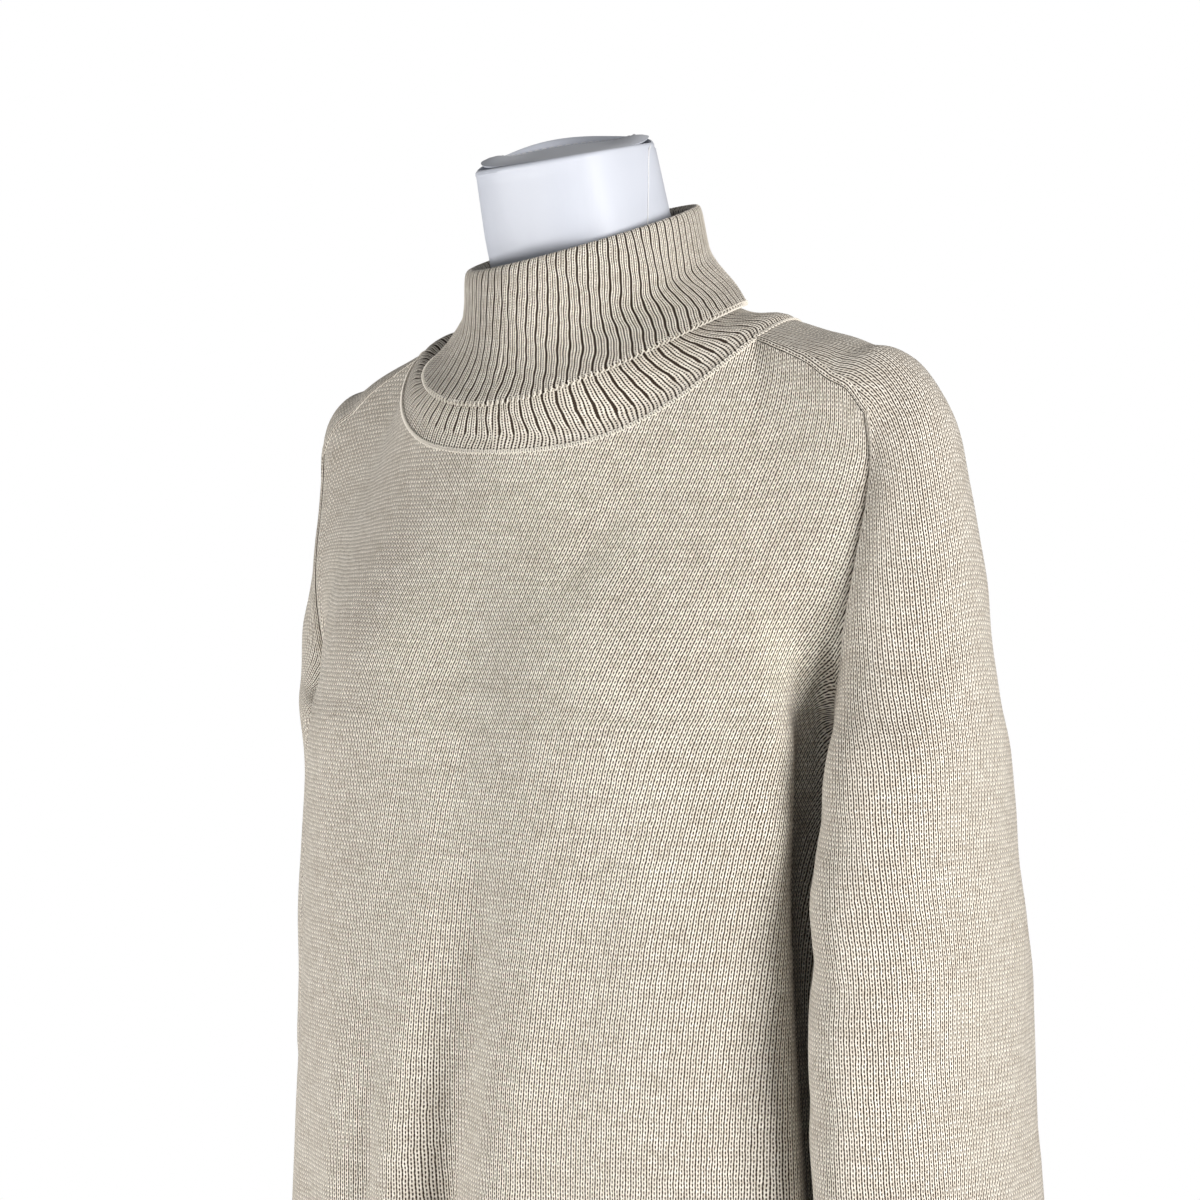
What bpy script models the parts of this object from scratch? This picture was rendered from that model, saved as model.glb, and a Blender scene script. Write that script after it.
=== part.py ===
"""Fine-knit sweater dress with a ribbed fold-over collar, on a limbless dress form.

Metres, +Z up. +X is the wearer's left and -Y is the front. The origin is the
middle of the base plate's underside, on the floor. Each cut piece of the dress
is a knit wall of its own: its outer points are worked out from the tables
below, and its inner points lie one wall thickness further in.
"""
from collections import namedtuple

import bpy
import numpy as np

# ---- driving dimensions -------------------------------------------------------
WALL = 0.0022               # thickness of the knit
HALF_GAP = 0.00018          # each piece stops this far short of its seam line
HEM_Z = 0.425
UNDERARM_Z = 1.165

NECK_HALF_WIDTH = 0.124     # neckline seam, seen from above
NECK_FRONT_REACH = 0.100
NECK_BACK_REACH = 0.096
NECK_FRONT_Z = 1.330
NECK_BACK_Z = 1.395
NECK_SIDE_CROWN = 0.038     # how far the seam rises over the shoulders
NECK_CROWN_POWER = 4.0      # and how late on its way round it does so
STRAP_FRONT_TURN = 80.0     # degrees from the centre front to the saddle's front seam
STRAP_BACK_TURN = 115.0

PANEL_SKIRT_ROWS = 10
ARMHOLE_ROWS = 8
STRAP_ROWS = 6
NECKLINE_COLUMNS = 28
SLEEVE_COLUMNS = 20
SLEEVE_TUBE_ROWS = 8

COLLAR_RIBS = 76
RIB_HEIGHT = 0.0012

# Horizontal sections of the body below the underarm: a squared oval.
BodyRow = namedtuple("BodyRow", "z half_width front back square")
BODY = (
    BodyRow(0.425, 0.212, 0.148, 0.140, 2.3),
    BodyRow(0.600, 0.203, 0.141, 0.134, 2.4),
    BodyRow(0.800, 0.193, 0.134, 0.127, 2.6),
    BodyRow(0.900, 0.187, 0.131, 0.122, 2.7),
    BodyRow(1.000, 0.182, 0.129, 0.118, 2.7),
    BodyRow(1.100, 0.179, 0.127, 0.114, 2.7),
    BodyRow(1.165, 0.178, 0.125, 0.111, 2.7),
)

# Which share of the front or back each column stands at: closer at the front's folds.
FRONT_COLUMNS = ((0, 0.0), (6, 0.10), (10, 0.26), (24, 0.60), (34, 0.90), (40, 1.0))
BACK_COLUMNS = ((0, 0.0), (6, 0.10), (34, 0.90), (40, 1.0))

RELAX_ROUNDS = 10           # evens out the yoke between its seams
CROTCH_NORMAL = -0.99       # a shared normal that points down marks the underarm point
EDGE_REACH = 0.34           # share of a panel's width that an armhole seam bends
STILL_SIDE = 0.035          # folds die out over this share of a panel beside an armhole
STILL_TOP = 0.30            # and over this share of the yoke below its upper seams

# Folds of the body. turn runs once round: 0 right side seam, 0.25 centre front,
# 0.5 left side seam, 0.75 centre back. drift is the change of turn down to the hem.
# A fold starts at z_top and has its full depth z_reach lower. Troughs are negative.
Fold = namedtuple("Fold", "turn drift z_top z_reach width depth")
FOLDS = (
    Fold(0.238, -0.024, 1.150, 0.300, 0.013, -0.0110),
    Fold(0.280, -0.010, 1.120, 0.280, 0.016, 0.0060),
    Fold(0.303, -0.008, 1.020, 0.250, 0.009, -0.0020),
    Fold(0.207, -0.016, 1.080, 0.220, 0.009, 0.0035),
    Fold(0.187, -0.016, 1.080, 0.240, 0.009, -0.0055),
    Fold(0.160, -0.014, 1.100, 0.260, 0.014, 0.0045),
    Fold(0.120, -0.006, 1.050, 0.300, 0.014, -0.0045),
    Fold(0.345, 0.004, 1.000, 0.350, 0.014, -0.0040),
    Fold(0.390, 0.004, 0.960, 0.350, 0.018, 0.0050),
    Fold(0.437, 0.000, 1.290, 0.180, 0.014, 0.0050),
    Fold(0.468, 0.000, 1.290, 0.160, 0.012, -0.0120),
    Fold(0.486, 0.000, 1.240, 0.060, 0.010, -0.0060),
    Fold(0.500, 0.000, 1.160, 0.050, 0.020, -0.0160),
    Fold(0.514, 0.000, 1.240, 0.060, 0.010, -0.0060),
    Fold(0.545, 0.000, 1.160, 0.100, 0.016, -0.0030),
    Fold(0.585, 0.004, 1.080, 0.250, 0.013, -0.0060),
    Fold(0.625, 0.006, 1.040, 0.300, 0.014, 0.0055),
    Fold(0.672, 0.006, 1.120, 0.300, 0.012, -0.0070),
    Fold(0.705, 0.004, 1.100, 0.300, 0.012, 0.0045),
    Fold(0.748, -0.004, 1.200, 0.350, 0.014, -0.0075),
    Fold(0.793, -0.006, 1.100, 0.300, 0.014, 0.0050),
    Fold(0.832, -0.006, 1.060, 0.300, 0.012, -0.0060),
    Fold(0.872, -0.004, 1.040, 0.280, 0.014, 0.0050),
    Fold(0.915, 0.000, 1.080, 0.250, 0.012, -0.0060),
    Fold(0.950, 0.000, 1.180, 0.080, 0.018, -0.0060),
    Fold(0.986, 0.000, 1.240, 0.060, 0.010, -0.0060),
    Fold(1.000, 0.000, 1.160, 0.050, 0.020, -0.0160),
    Fold(1.014, 0.000, 1.240, 0.060, 0.010, -0.0060),
    Fold(1.032, 0.000, 1.270, 0.160, 0.012, -0.0090),
    Fold(1.063, 0.000, 1.270, 0.180, 0.014, 0.0040),
)

# Soft forms over the bust and the shoulder blades, pushed out along the surface.
Form = namedtuple("Form", "turn z turn_spread z_spread push")
FORMS = (
    Form(0.330, 1.215, 0.050, 0.055, 0.0110),
    Form(0.170, 1.215, 0.050, 0.055, 0.0110),
    Form(0.250, 1.215, 0.024, 0.050, -0.0030),
    Form(0.680, 1.270, 0.050, 0.060, 0.0090),
    Form(0.820, 1.270, 0.050, 0.060, 0.0090),
)

# Upright sections of the sleeve below the underarm: a flattened oval. sway is the
# share of the side's own backward swing.
SleeveRow = namedtuple("SleeveRow", "z out half_depth half_width sway")
SLEEVE_TUBE = (
    SleeveRow(0.730, 0.2400, 0.0760, 0.0400, 1.20),
    SleeveRow(0.900, 0.2310, 0.0885, 0.0470, 1.10),
    SleeveRow(0.980, 0.2250, 0.0890, 0.0460, 1.05),
    SleeveRow(1.060, 0.2230, 0.0835, 0.0460, 0.95),
    SleeveRow(1.120, 0.2200, 0.0730, 0.0440, 0.82),
    SleeveRow(1.165, 0.2205, 0.0650, 0.0425, 0.56),
)

# How each sleeve hangs: how far back its end swings, how far its ridge is drawn in,
# and how full its tube is. The right one hangs behind the body's right side.
Hang = namedtuple("Hang", "swing pull_in fullness")
HANGS = {1: Hang(0.000, 0.000, 1.00), -1: Hang(0.070, 0.022, 0.80)}

# Sleeve head and saddle, from the underarm (0) past the shoulder corner (1) to the
# neckline (2). Each row runs from the front seam over the ridge to the back seam,
# and wrap is how far, in degrees, the arc turns in past its half circle.
HeadRow = namedtuple("HeadRow", "stage front ridge back wrap sway")
SLEEVE_HEAD = (
    HeadRow(0.18, (0.1850, -0.0275, 1.198), (0.2555, 0.004, 1.213), (0.185, 0.038, 1.198), 50.0, 0.64),
    HeadRow(0.40, (0.1930, -0.0320, 1.239), (0.2460, 0.008, 1.268), (0.193, 0.050, 1.239), 30.0, 0.68),
    HeadRow(0.62, (0.1980, -0.0265, 1.280), (0.2365, 0.011, 1.319), (0.197, 0.055, 1.280), 15.0, 0.58),
    HeadRow(0.82, (0.2000, -0.0195, 1.317), (0.2250, 0.013, 1.356), (0.198, 0.057, 1.318), 2.0, 0.36),
    HeadRow(1.00, (0.1975, -0.0200, 1.350), (0.2070, 0.013, 1.3790), (0.194, 0.055, 1.352), -14.0, 0.06),
    HeadRow(1.35, (0.1720, -0.0215, 1.371), (0.1800, 0.012, 1.3895), (0.170, 0.052, 1.372), -35.0, 0.00),
)
UNDERARM_WRAP = 90.0
NECK_WRAP = -50.0

# Rings of the collar from the neckline seam: outer side of the stand, over the fold
# line, and down the folded part. z runs from front to back, crown lifts both sides,
# and lean lifts the wearer's left side and lets the right one down.
CollarRow = namedtuple("CollarRow", "half_width front back centre z_front z_back crown power lean")
STAND = (
    CollarRow(0.1160, 0.0980, 0.0930, 0.0000, 1.3390, 1.4020, 0.0340, 4.0, 0.0),
    CollarRow(0.0930, 0.0835, 0.0820, -0.0135, 1.3575, 1.4105, 0.0270, 2.0, 0.0),
    CollarRow(0.0675, 0.0715, 0.0705, -0.0105, 1.3850, 1.4340, 0.0075, 2.0, 0.0),
    CollarRow(0.0620, 0.0665, 0.0665, -0.0150, 1.4215, 1.4600, 0.0, 2.0, 0.0060),
)
FOLDED = (
    CollarRow(0.0970, 0.0865, 0.0855, -0.0145, 1.3575, 1.4130, 0.0307, 2.0, 0.0),
    CollarRow(0.0840, 0.0820, 0.0820, -0.0100, 1.3729, 1.4235, 0.0215, 2.0, 0.0),
    CollarRow(0.0720, 0.0775, 0.0750, -0.0100, 1.3885, 1.4400, 0.0080, 2.0, 0.0010),
    CollarRow(0.0685, 0.0750, 0.0710, -0.0110, 1.4100, 1.4520, 0.0, 2.0, 0.0050),
    CollarRow(0.0665, 0.0705, 0.0705, -0.0150, 1.4300, 1.4665, 0.0, 2.0, 0.0090),
)
FOLD_LINE = CollarRow(0.0640, 0.0680, 0.0680, -0.0150, 1.4350, 1.4707, 0.0, 2.0, 0.0096)
FOLD_INSIDE = CollarRow(0.0610, 0.0650, 0.0645, -0.0150, 1.4327, 1.4682, 0.0, 2.0, 0.0096)
LAYER_GAP = 0.0006          # between the stand and the folded part

# Rings of the dress form: a plain oval torso, rising into a neck that leans forward.
FormRow = namedtuple("FormRow", "z half_width front back centre lean square")
TORSO = (
    FormRow(0.7200, 0.156, 0.100, 0.104, 0.000, 0.000, 2.2),
    FormRow(0.8000, 0.162, 0.106, 0.110, 0.000, 0.000, 2.2),
    FormRow(0.8800, 0.152, 0.100, 0.102, 0.000, 0.000, 2.2),
    FormRow(0.9800, 0.122, 0.088, 0.086, 0.000, 0.000, 2.2),
    FormRow(1.0800, 0.132, 0.097, 0.090, 0.000, 0.000, 2.2),
    FormRow(1.1600, 0.144, 0.110, 0.095, 0.000, 0.000, 2.2),
    FormRow(1.2100, 0.148, 0.113, 0.097, 0.000, 0.000, 2.2),
    FormRow(1.2700, 0.154, 0.097, 0.093, 0.000, 0.000, 2.1),
    FormRow(1.3100, 0.168, 0.077, 0.082, 0.002, 0.000, 2.0),
    FormRow(1.3400, 0.184, 0.056, 0.064, 0.006, 0.000, 2.0),
    FormRow(1.3580, 0.193, 0.040, 0.048, 0.010, 0.000, 2.0),
    FormRow(1.3720, 0.194, 0.030, 0.036, 0.012, 0.000, 2.0),
    FormRow(1.3800, 0.185, 0.028, 0.032, 0.012, 0.000, 2.0),
    FormRow(1.3870, 0.167, 0.029, 0.033, 0.012, 0.000, 2.0),
    FormRow(1.3925, 0.146, 0.032, 0.036, 0.011, 0.000, 2.0),
    FormRow(1.3975, 0.116, 0.038, 0.041, 0.008, 0.001, 2.0),
    FormRow(1.4040, 0.084, 0.044, 0.046, 0.003, 0.004, 2.2),
    FormRow(1.4150, 0.064, 0.048, 0.048, -0.002, 0.007, 2.4),
    FormRow(1.4350, 0.055, 0.047, 0.047, -0.010, 0.009, 2.6),
    FormRow(1.4600, 0.050, 0.046, 0.046, -0.021, 0.009, 2.8),
    FormRow(1.4885, 0.0465, 0.0445, 0.0445, -0.0325, 0.0095, 3.0),
)
FORM_SIDES = 32

# The wearer's right shoulder is carried lower than the left, and the cloth with it.
SHOULDER_DROP = 0.024
DROP_START_X = 0.070        # from here out to the right
DROP_REACH_X = 0.150
DROP_START_Z = 1.220        # and from here up
DROP_REACH_Z = 0.140

CAP_THICKNESS = 0.0075
CAP_INSET = 0.0015
PIECE_GAP = 0.0003          # between hard pieces that rest on each other

POLE_RADIUS = 0.0125
POLE_SIDES = 24
BASE_RADIUS = 0.170
BASE_THICKNESS = 0.012
BASE_BEVEL = 0.003
BASE_SIDES = 48
SHARP_ANGLE = 40.0          # degrees; edges bent further than this stay sharp

# ---- materials: base colour, roughness and metallic value ---------------------
KNIT = ("oatmeal_knit", (0.58, 0.53, 0.46), 0.95, 0.0)
RIB_KNIT = ("oatmeal_rib", (0.53, 0.48, 0.41), 0.95, 0.0)
COVER = ("white_cover", (0.86, 0.85, 0.83), 0.55, 0.0)
STEEL = ("brushed_steel", (0.62, 0.62, 0.63), 0.35, 1.0)


# ---- small helpers -------------------------------------------------------------
def smooth_step(value):
    """0 below 0, 1 above 1, and an even S between."""
    value = np.clip(value, 0.0, 1.0)
    return value * value * (3.0 - 2.0 * value)


def smooth_through(stages, values, at):
    """A smooth curve through the values at rising stages, read at one stage."""
    stages = np.asarray(stages, float)
    values = np.asarray(values, float)
    slopes = np.gradient(values, stages, axis=0)
    index = int(np.clip(np.searchsorted(stages, at) - 1, 0, len(stages) - 2))
    span = stages[index + 1] - stages[index]
    t = (at - stages[index]) / span
    start = (1 + 2 * t) * (1 - t) ** 2 * values[index] + t * (1 - t) ** 2 * span * slopes[index]
    end = t * t * (3 - 2 * t) * values[index + 1] - t * t * (1 - t) * span * slopes[index + 1]
    return start + end


def along(points, shares):
    """Points at the given shares of a polyline's length."""
    steps = np.linalg.norm(np.diff(points, axis=0), axis=1)
    length = np.concatenate(([0.0], np.cumsum(steps)))
    length /= length[-1]
    return np.stack([np.interp(shares, length, points[:, axis]) for axis in range(3)], axis=1)


def signed_power(value, power):
    return np.sign(value) * np.abs(value) ** power


def unit(vectors):
    return vectors / np.maximum(np.linalg.norm(vectors, axis=-1, keepdims=True), 1e-12)


def ring_height(turn, z_front, z_back, crown, power, lean=0.0):
    """Height of a tilted ring that also rises over the shoulders."""
    tilt = 0.5 * (z_back - z_front) * (1.0 - np.cos(turn))
    return z_front + tilt + crown * np.abs(np.sin(turn)) ** power + lean * np.sin(turn)


def oval_ring(turn, half_width, front, back, centre):
    """Ring seen from above: turn 0 is the centre front, and it runs to the left first."""
    depth = np.where(np.cos(turn) > 0, front, back)
    return half_width * np.sin(turn), centre - depth * np.cos(turn)


# ---- outlines of the cut pieces ------------------------------------------------
def neckline(turn):
    x, y = oval_ring(turn, NECK_HALF_WIDTH, NECK_FRONT_REACH, NECK_BACK_REACH, 0.0)
    z = ring_height(turn, NECK_FRONT_Z, NECK_BACK_Z, NECK_SIDE_CROWN, NECK_CROWN_POWER)
    return np.stack([x, y, z], axis=-1)


def body_half(z, side):
    """Fine outline of the front (side -1) or back (+1), in the direction of turn."""
    heights = [row.z for row in BODY]
    half_width, front, back, square = smooth_through(heights, [row[1:] for row in BODY], z)
    angle = np.linspace(0.0, np.pi, 361)
    depth = front if side < 0 else back
    x = side * half_width * signed_power(np.cos(angle), 2.0 / square)
    y = side * depth * np.sin(angle) ** (2.0 / square)
    return np.stack([x, y, np.full_like(x, z)], axis=1)


def underarm(side):
    return np.array([side * BODY[-1].half_width, 0.0, UNDERARM_Z])


def mirrored(point, side):
    return np.array([side * point[0], point[1], point[2]])


def head_sections(side):
    """Centre, forward axis, outward axis and wrap of each sleeve head row."""
    hang = HANGS[side]
    low = SLEEVE_TUBE[-1]
    outward = np.array([side * low.half_width * hang.fullness, hang.swing * low.sway, 0.0])
    forward = np.array([0.0, -low.half_depth, 0.0])
    rows = [(0.0, underarm(side) + outward, forward, outward, UNDERARM_WRAP)]
    front_turn = np.radians(STRAP_FRONT_TURN)
    back_turn = np.radians(STRAP_BACK_TURN)
    middle_turn = 0.5 * (front_turn + back_turn)
    neck_row = HeadRow(
        2.0, neckline(front_turn), neckline(middle_turn), neckline(back_turn), NECK_WRAP, 0.0
    )
    for row in SLEEVE_HEAD + (neck_row,):
        front = mirrored(row.front, side)
        ridge = mirrored(row.ridge, side)
        back = mirrored(row.back, side)
        ridge[0] -= side * hang.pull_in * row.sway
        ridge[1] += hang.swing * row.sway
        middle = 0.5 * (front + back)
        wrap = np.radians(row.wrap)
        outward = (ridge - middle) / (1.0 + np.sin(wrap))
        forward = 0.5 * (front - back) / np.cos(wrap)
        rows.append((row.stage, ridge - outward, forward, outward, row.wrap))
    return rows


def sleeve_arc(centre, forward, outward, wrap, shares):
    """Points from the front seam (share 0) over the outside to the back seam (share 1)."""
    start = -np.radians(wrap)
    angle = start + shares * (np.pi - 2.0 * start)
    return centre + np.outer(np.cos(angle), forward) + np.outer(np.sin(angle), outward)


def sleeve_grid(side):
    """Rows from the cuff to the neckline; columns from the front seam to the back seam."""
    shares = np.linspace(0.0, 1.0, SLEEVE_COLUMNS + 1)
    hang = HANGS[side]
    heights = [row.z for row in SLEEVE_TUBE]
    rows = []
    for z in np.linspace(SLEEVE_TUBE[0].z, UNDERARM_Z, SLEEVE_TUBE_ROWS + 1)[:-1]:
        out, half_depth, half_width, sway = smooth_through(heights, [row[1:] for row in SLEEVE_TUBE], z)
        slim_width = half_width * hang.fullness
        centre = np.array([side * (out - half_width + slim_width), hang.swing * sway, z])
        forward = np.array([0.0, -half_depth, 0.0])
        outward = np.array([side * slim_width, 0.0, 0.0])
        rows.append(sleeve_arc(centre, forward, outward, UNDERARM_WRAP, shares))
    sections = head_sections(side)
    stages = [section[0] for section in sections]
    values = [np.concatenate([section[1], section[2], section[3], [section[4]]]) for section in sections]
    arm_stages = np.linspace(0.0, 1.0, ARMHOLE_ROWS + 1)
    strap_stages = np.linspace(1.0, 2.0, STRAP_ROWS + 1)[1:]
    for stage in np.concatenate([arm_stages, strap_stages]):
        value = smooth_through(stages, values, stage)
        rows.append(sleeve_arc(value[0:3], value[3:6], value[6:9], value[9], shares))
    grid = np.array(rows)
    grid[:SLEEVE_TUBE_ROWS + 1, -1] = grid[:SLEEVE_TUBE_ROWS + 1, 0]
    return grid


def panel_grid(side, sleeves):
    """Front (side -1) or back (+1): rows from the hem up, columns in the direction of turn."""
    marks = FRONT_COLUMNS if side < 0 else BACK_COLUMNS
    columns = 2 * STRAP_ROWS + NECKLINE_COLUMNS
    shares = np.interp(np.arange(columns + 1), [mark[0] for mark in marks], [mark[1] for mark in marks])
    heights = np.linspace(HEM_Z, UNDERARM_Z, PANEL_SKIRT_ROWS + 1)
    skirt = [along(body_half(z, side), shares) for z in heights]

    # The seam edge of each sleeve on this side of the body, from the underarm to the neck.
    edge = 0 if side < 0 else -1
    first = sleeves["right" if side < 0 else "left"][SLEEVE_TUBE_ROWS:, edge]
    last = sleeves["left" if side < 0 else "right"][SLEEVE_TUBE_ROWS:, edge]
    if side < 0:
        turns = np.radians(np.linspace(-STRAP_FRONT_TURN, STRAP_FRONT_TURN, NECKLINE_COLUMNS + 1))
    else:
        turns = np.radians(np.linspace(STRAP_BACK_TURN, 360.0 - STRAP_BACK_TURN, NECKLINE_COLUMNS + 1))
    top = np.concatenate([first[ARMHOLE_ROWS:-1], neckline(turns), last[ARMHOLE_ROWS:-1][::-1]])
    yoke = coons(skirt[-1], top, first[:ARMHOLE_ROWS + 1], last[:ARMHOLE_ROWS + 1], shares)
    return np.concatenate([np.array(skirt[:-1]), yoke]), shares


def coons(bottom, top, left, right, shares):
    """Surface between four edges; the side edges bend only the panel's outer parts."""
    rows = len(left)
    near_left = smooth_step(1.0 - shares / EDGE_REACH)[:, None]
    near_right = smooth_step(1.0 - (1.0 - shares) / EDGE_REACH)[:, None]
    grid = np.empty((rows, len(bottom), 3))
    for row in range(rows):
        v = row / (rows - 1)
        ruled = (1 - v) * bottom + v * top
        grid[row] = ruled + near_left * (left[row] - ruled[0]) + near_right * (right[row] - ruled[-1])
    for _ in range(RELAX_ROUNDS):
        upright = grid[:-2, 1:-1] + grid[2:, 1:-1]
        level = grid[1:-1, :-2] + grid[1:-1, 2:]
        grid[1:-1, 1:-1] = 0.5 * grid[1:-1, 1:-1] + 0.125 * (upright + level)
    return grid


# ---- shared normals and folds ---------------------------------------------------
def point_key(point):
    return tuple(np.round(point, 6))


def shared_normals(grids):
    """Outward normals at each grid point, the same for all pieces that meet there."""
    sums = {}
    for grid in grids:
        across = grid[:-1, 1:] - grid[1:, :-1]
        up = grid[1:, 1:] - grid[:-1, :-1]
        faces = np.cross(across, up)
        for row in range(faces.shape[0]):
            for column in range(faces.shape[1]):
                corners = ((row, column), (row, column + 1), (row + 1, column), (row + 1, column + 1))
                for corner in corners:
                    key = point_key(grid[corner])
                    sums[key] = sums.get(key, 0.0) + faces[row, column]
    for side in (-1, 1):
        sums[point_key(underarm(side))] = np.array([0.0, 0.0, -1.0])
    return [
        np.array([[unit(sums[point_key(point)]) for point in row] for row in grid])
        for grid in grids
    ]


def fold_push(turn, z):
    """How far the folds and soft forms push the body's surface out, at one place."""
    push = 0.0
    for fold in FOLDS:
        down = np.clip((fold.z_top - z) / max(fold.z_top - HEM_Z, 1e-6), 0.0, 1.0)
        place = fold.turn + fold.drift * down
        away = (turn - place + 0.5) % 1.0 - 0.5
        grown = smooth_step((fold.z_top - z) / fold.z_reach)
        push += fold.depth * grown * np.exp(-((away / fold.width) ** 2))
    for form in FORMS:
        away = (turn - form.turn + 0.5) % 1.0 - 0.5
        rise = (z - form.z) / form.z_spread
        push += form.push * np.exp(-((away / form.turn_spread) ** 2) - rise ** 2)
    return push


def fold_body(grid, normals, shares, first_turn):
    """Push a panel's points along their normals, held still along its upper seams."""
    folded = grid.copy()
    for row in range(grid.shape[0]):
        v = (row - PANEL_SKIRT_ROWS) / ARMHOLE_ROWS
        for column, share in enumerate(shares):
            hold = 1.0
            if v >= 0.0:
                hold = smooth_step(min(share, 1.0 - share) / STILL_SIDE)
                hold *= smooth_step((1.0 - v) / STILL_TOP)
            turn = first_turn + 0.5 * share
            folded[row, column] += normals[row, column] * fold_push(turn, grid[row, column, 2]) * hold
    return folded


# ---- meshes ----------------------------------------------------------------------
def add_material(finish):
    name, colour, roughness, metallic = finish
    material = bpy.data.materials.get(name)
    if material is None:
        material = bpy.data.materials.new(name)
        material.use_nodes = True
        shader = material.node_tree.nodes["Principled BSDF"]
        shader.inputs["Base Color"].default_value = (*colour, 1.0)
        shader.inputs["Roughness"].default_value = roughness
        shader.inputs["Metallic"].default_value = metallic
    return material


def let_down(points):
    """The points as they are with the right shoulder carried lower."""
    placed = np.array(points, float)
    across = smooth_step((-placed[:, 0] - DROP_START_X) / DROP_REACH_X)
    upward = smooth_step((placed[:, 2] - DROP_START_Z) / DROP_REACH_Z)
    placed[:, 2] -= SHOULDER_DROP * across * upward
    return placed


def add_object(name, points, faces, finish):
    mesh = bpy.data.meshes.new(name)
    mesh.from_pydata(let_down(points).tolist(), [], faces)
    mesh.validate()
    mesh.update()
    mesh.shade_smooth()
    mesh.set_sharp_from_angle(angle=np.radians(SHARP_ANGLE))
    mesh.materials.append(add_material(finish))
    thing = bpy.data.objects.new(name, mesh)
    bpy.context.scene.collection.objects.link(thing)
    return thing


def pulled_back(grid, normals, closed_rows):
    """Draw the open edges in from their seam lines; return outer and inner points."""
    outer = grid.copy()
    inner = grid - WALL * normals
    last_row = grid.shape[0] - 1
    last_column = grid.shape[1] - 1
    for row in range(grid.shape[0]):
        for column in range(grid.shape[1]):
            point = grid[row, column]
            normal = normals[row, column]
            ways = []
            if row == 0:
                ways.append(grid[1, column] - point)
            if row == last_row:
                ways.append(grid[row - 1, column] - point)
            if column in (0, last_column) and row >= closed_rows:
                next_column = 1 if column == 0 else last_column - 1
                ways.append(grid[row, next_column] - point)
            if normal[2] < CROTCH_NORMAL:
                ways.append(grid[row].mean(axis=0) - point)
            # Only the part of each way across the shared normal parts two pieces that
            # leave their seam side by side.
            shift = sum((unit(way - way.dot(normal) * normal) for way in ways), np.zeros(3))
            outer[row, column] += shift * HALF_GAP
            inner[row, column] += shift * HALF_GAP
    return outer, inner


def add_wall(name, grid, normals, finish, closed_rows=0):
    """A knit wall: outer grid, inner grid and the rims between them, as one closed solid.

    The first closed_rows rows are rings, whose last column is their first.
    """
    outer, inner = pulled_back(grid, normals, closed_rows)
    rows, columns = grid.shape[:2]
    index = np.empty((rows, columns), int)
    points = []
    for row in range(rows):
        for column in range(columns):
            if row < closed_rows and column == columns - 1:
                index[row, column] = index[row, 0]
                continue
            index[row, column] = len(points)
            points.append(outer[row, column])
    count = len(points)
    for row in range(rows):
        for column in range(columns):
            if row < closed_rows and column == columns - 1:
                continue
            points.append(inner[row, column])
    faces = []
    for row in range(rows - 1):
        for column in range(columns - 1):
            faces.append((
                int(index[row, column]), int(index[row, column + 1]),
                int(index[row + 1, column + 1]), int(index[row + 1, column]),
            ))
    edges = {(face[k], face[(k + 1) % 4]) for face in faces for k in range(4)}
    rims = []
    for a, b in sorted(edges):
        if (b, a) in edges:
            continue
        # Two pieces that meet split each twisted rim along the same diagonal.
        if points[a][2] < points[b][2]:
            rims.extend(((b, a, b + count), (a, a + count, b + count)))
        else:
            rims.extend(((b, a, a + count), (b, a + count, b + count)))
    inside = [tuple(corner + count for corner in reversed(face)) for face in faces]
    return add_object(name, points, faces + inside + rims, finish)


def collar_ring(row, turns):
    x, y = oval_ring(turns, row.half_width, row.front, row.back, row.centre)
    z = ring_height(turns, row.z_front, row.z_back, row.crown, row.power, row.lean)
    return np.stack([x, y, z], axis=1)


def even_turns(row, count):
    """Turns at which a collar ring's points are evenly spaced along it."""
    fine = np.linspace(0.0, 2.0 * np.pi, 1441)
    points = collar_ring(row, fine)
    steps = np.linalg.norm(np.diff(points, axis=0), axis=1)
    length = np.concatenate(([0.0], np.cumsum(steps)))
    return np.interp(np.arange(count) / count * length[-1], length, fine)


def strip(faces, low, high):
    """Faces between two rings of point numbers, where one may have twice as many."""
    low_count = len(low)
    high_count = len(high)
    if low_count == high_count:
        for k in range(low_count):
            n = (k + 1) % low_count
            faces.append((low[k], low[n], high[n], high[k]))
    elif low_count == 2 * high_count:
        for k in range(high_count):
            n = (k + 1) % high_count
            a, b, c = low[2 * k], low[2 * k + 1], low[(2 * k + 2) % low_count]
            faces.extend(((a, b, high[k]), (b, c, high[n]), (b, high[n], high[k])))
    else:
        for k in range(low_count):
            n = (k + 1) % low_count
            a, b, c = high[2 * k], high[2 * k + 1], high[(2 * k + 2) % high_count]
            faces.extend(((low[k], b, a), (low[n], c, b), (low[k], low[n], b)))


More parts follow.
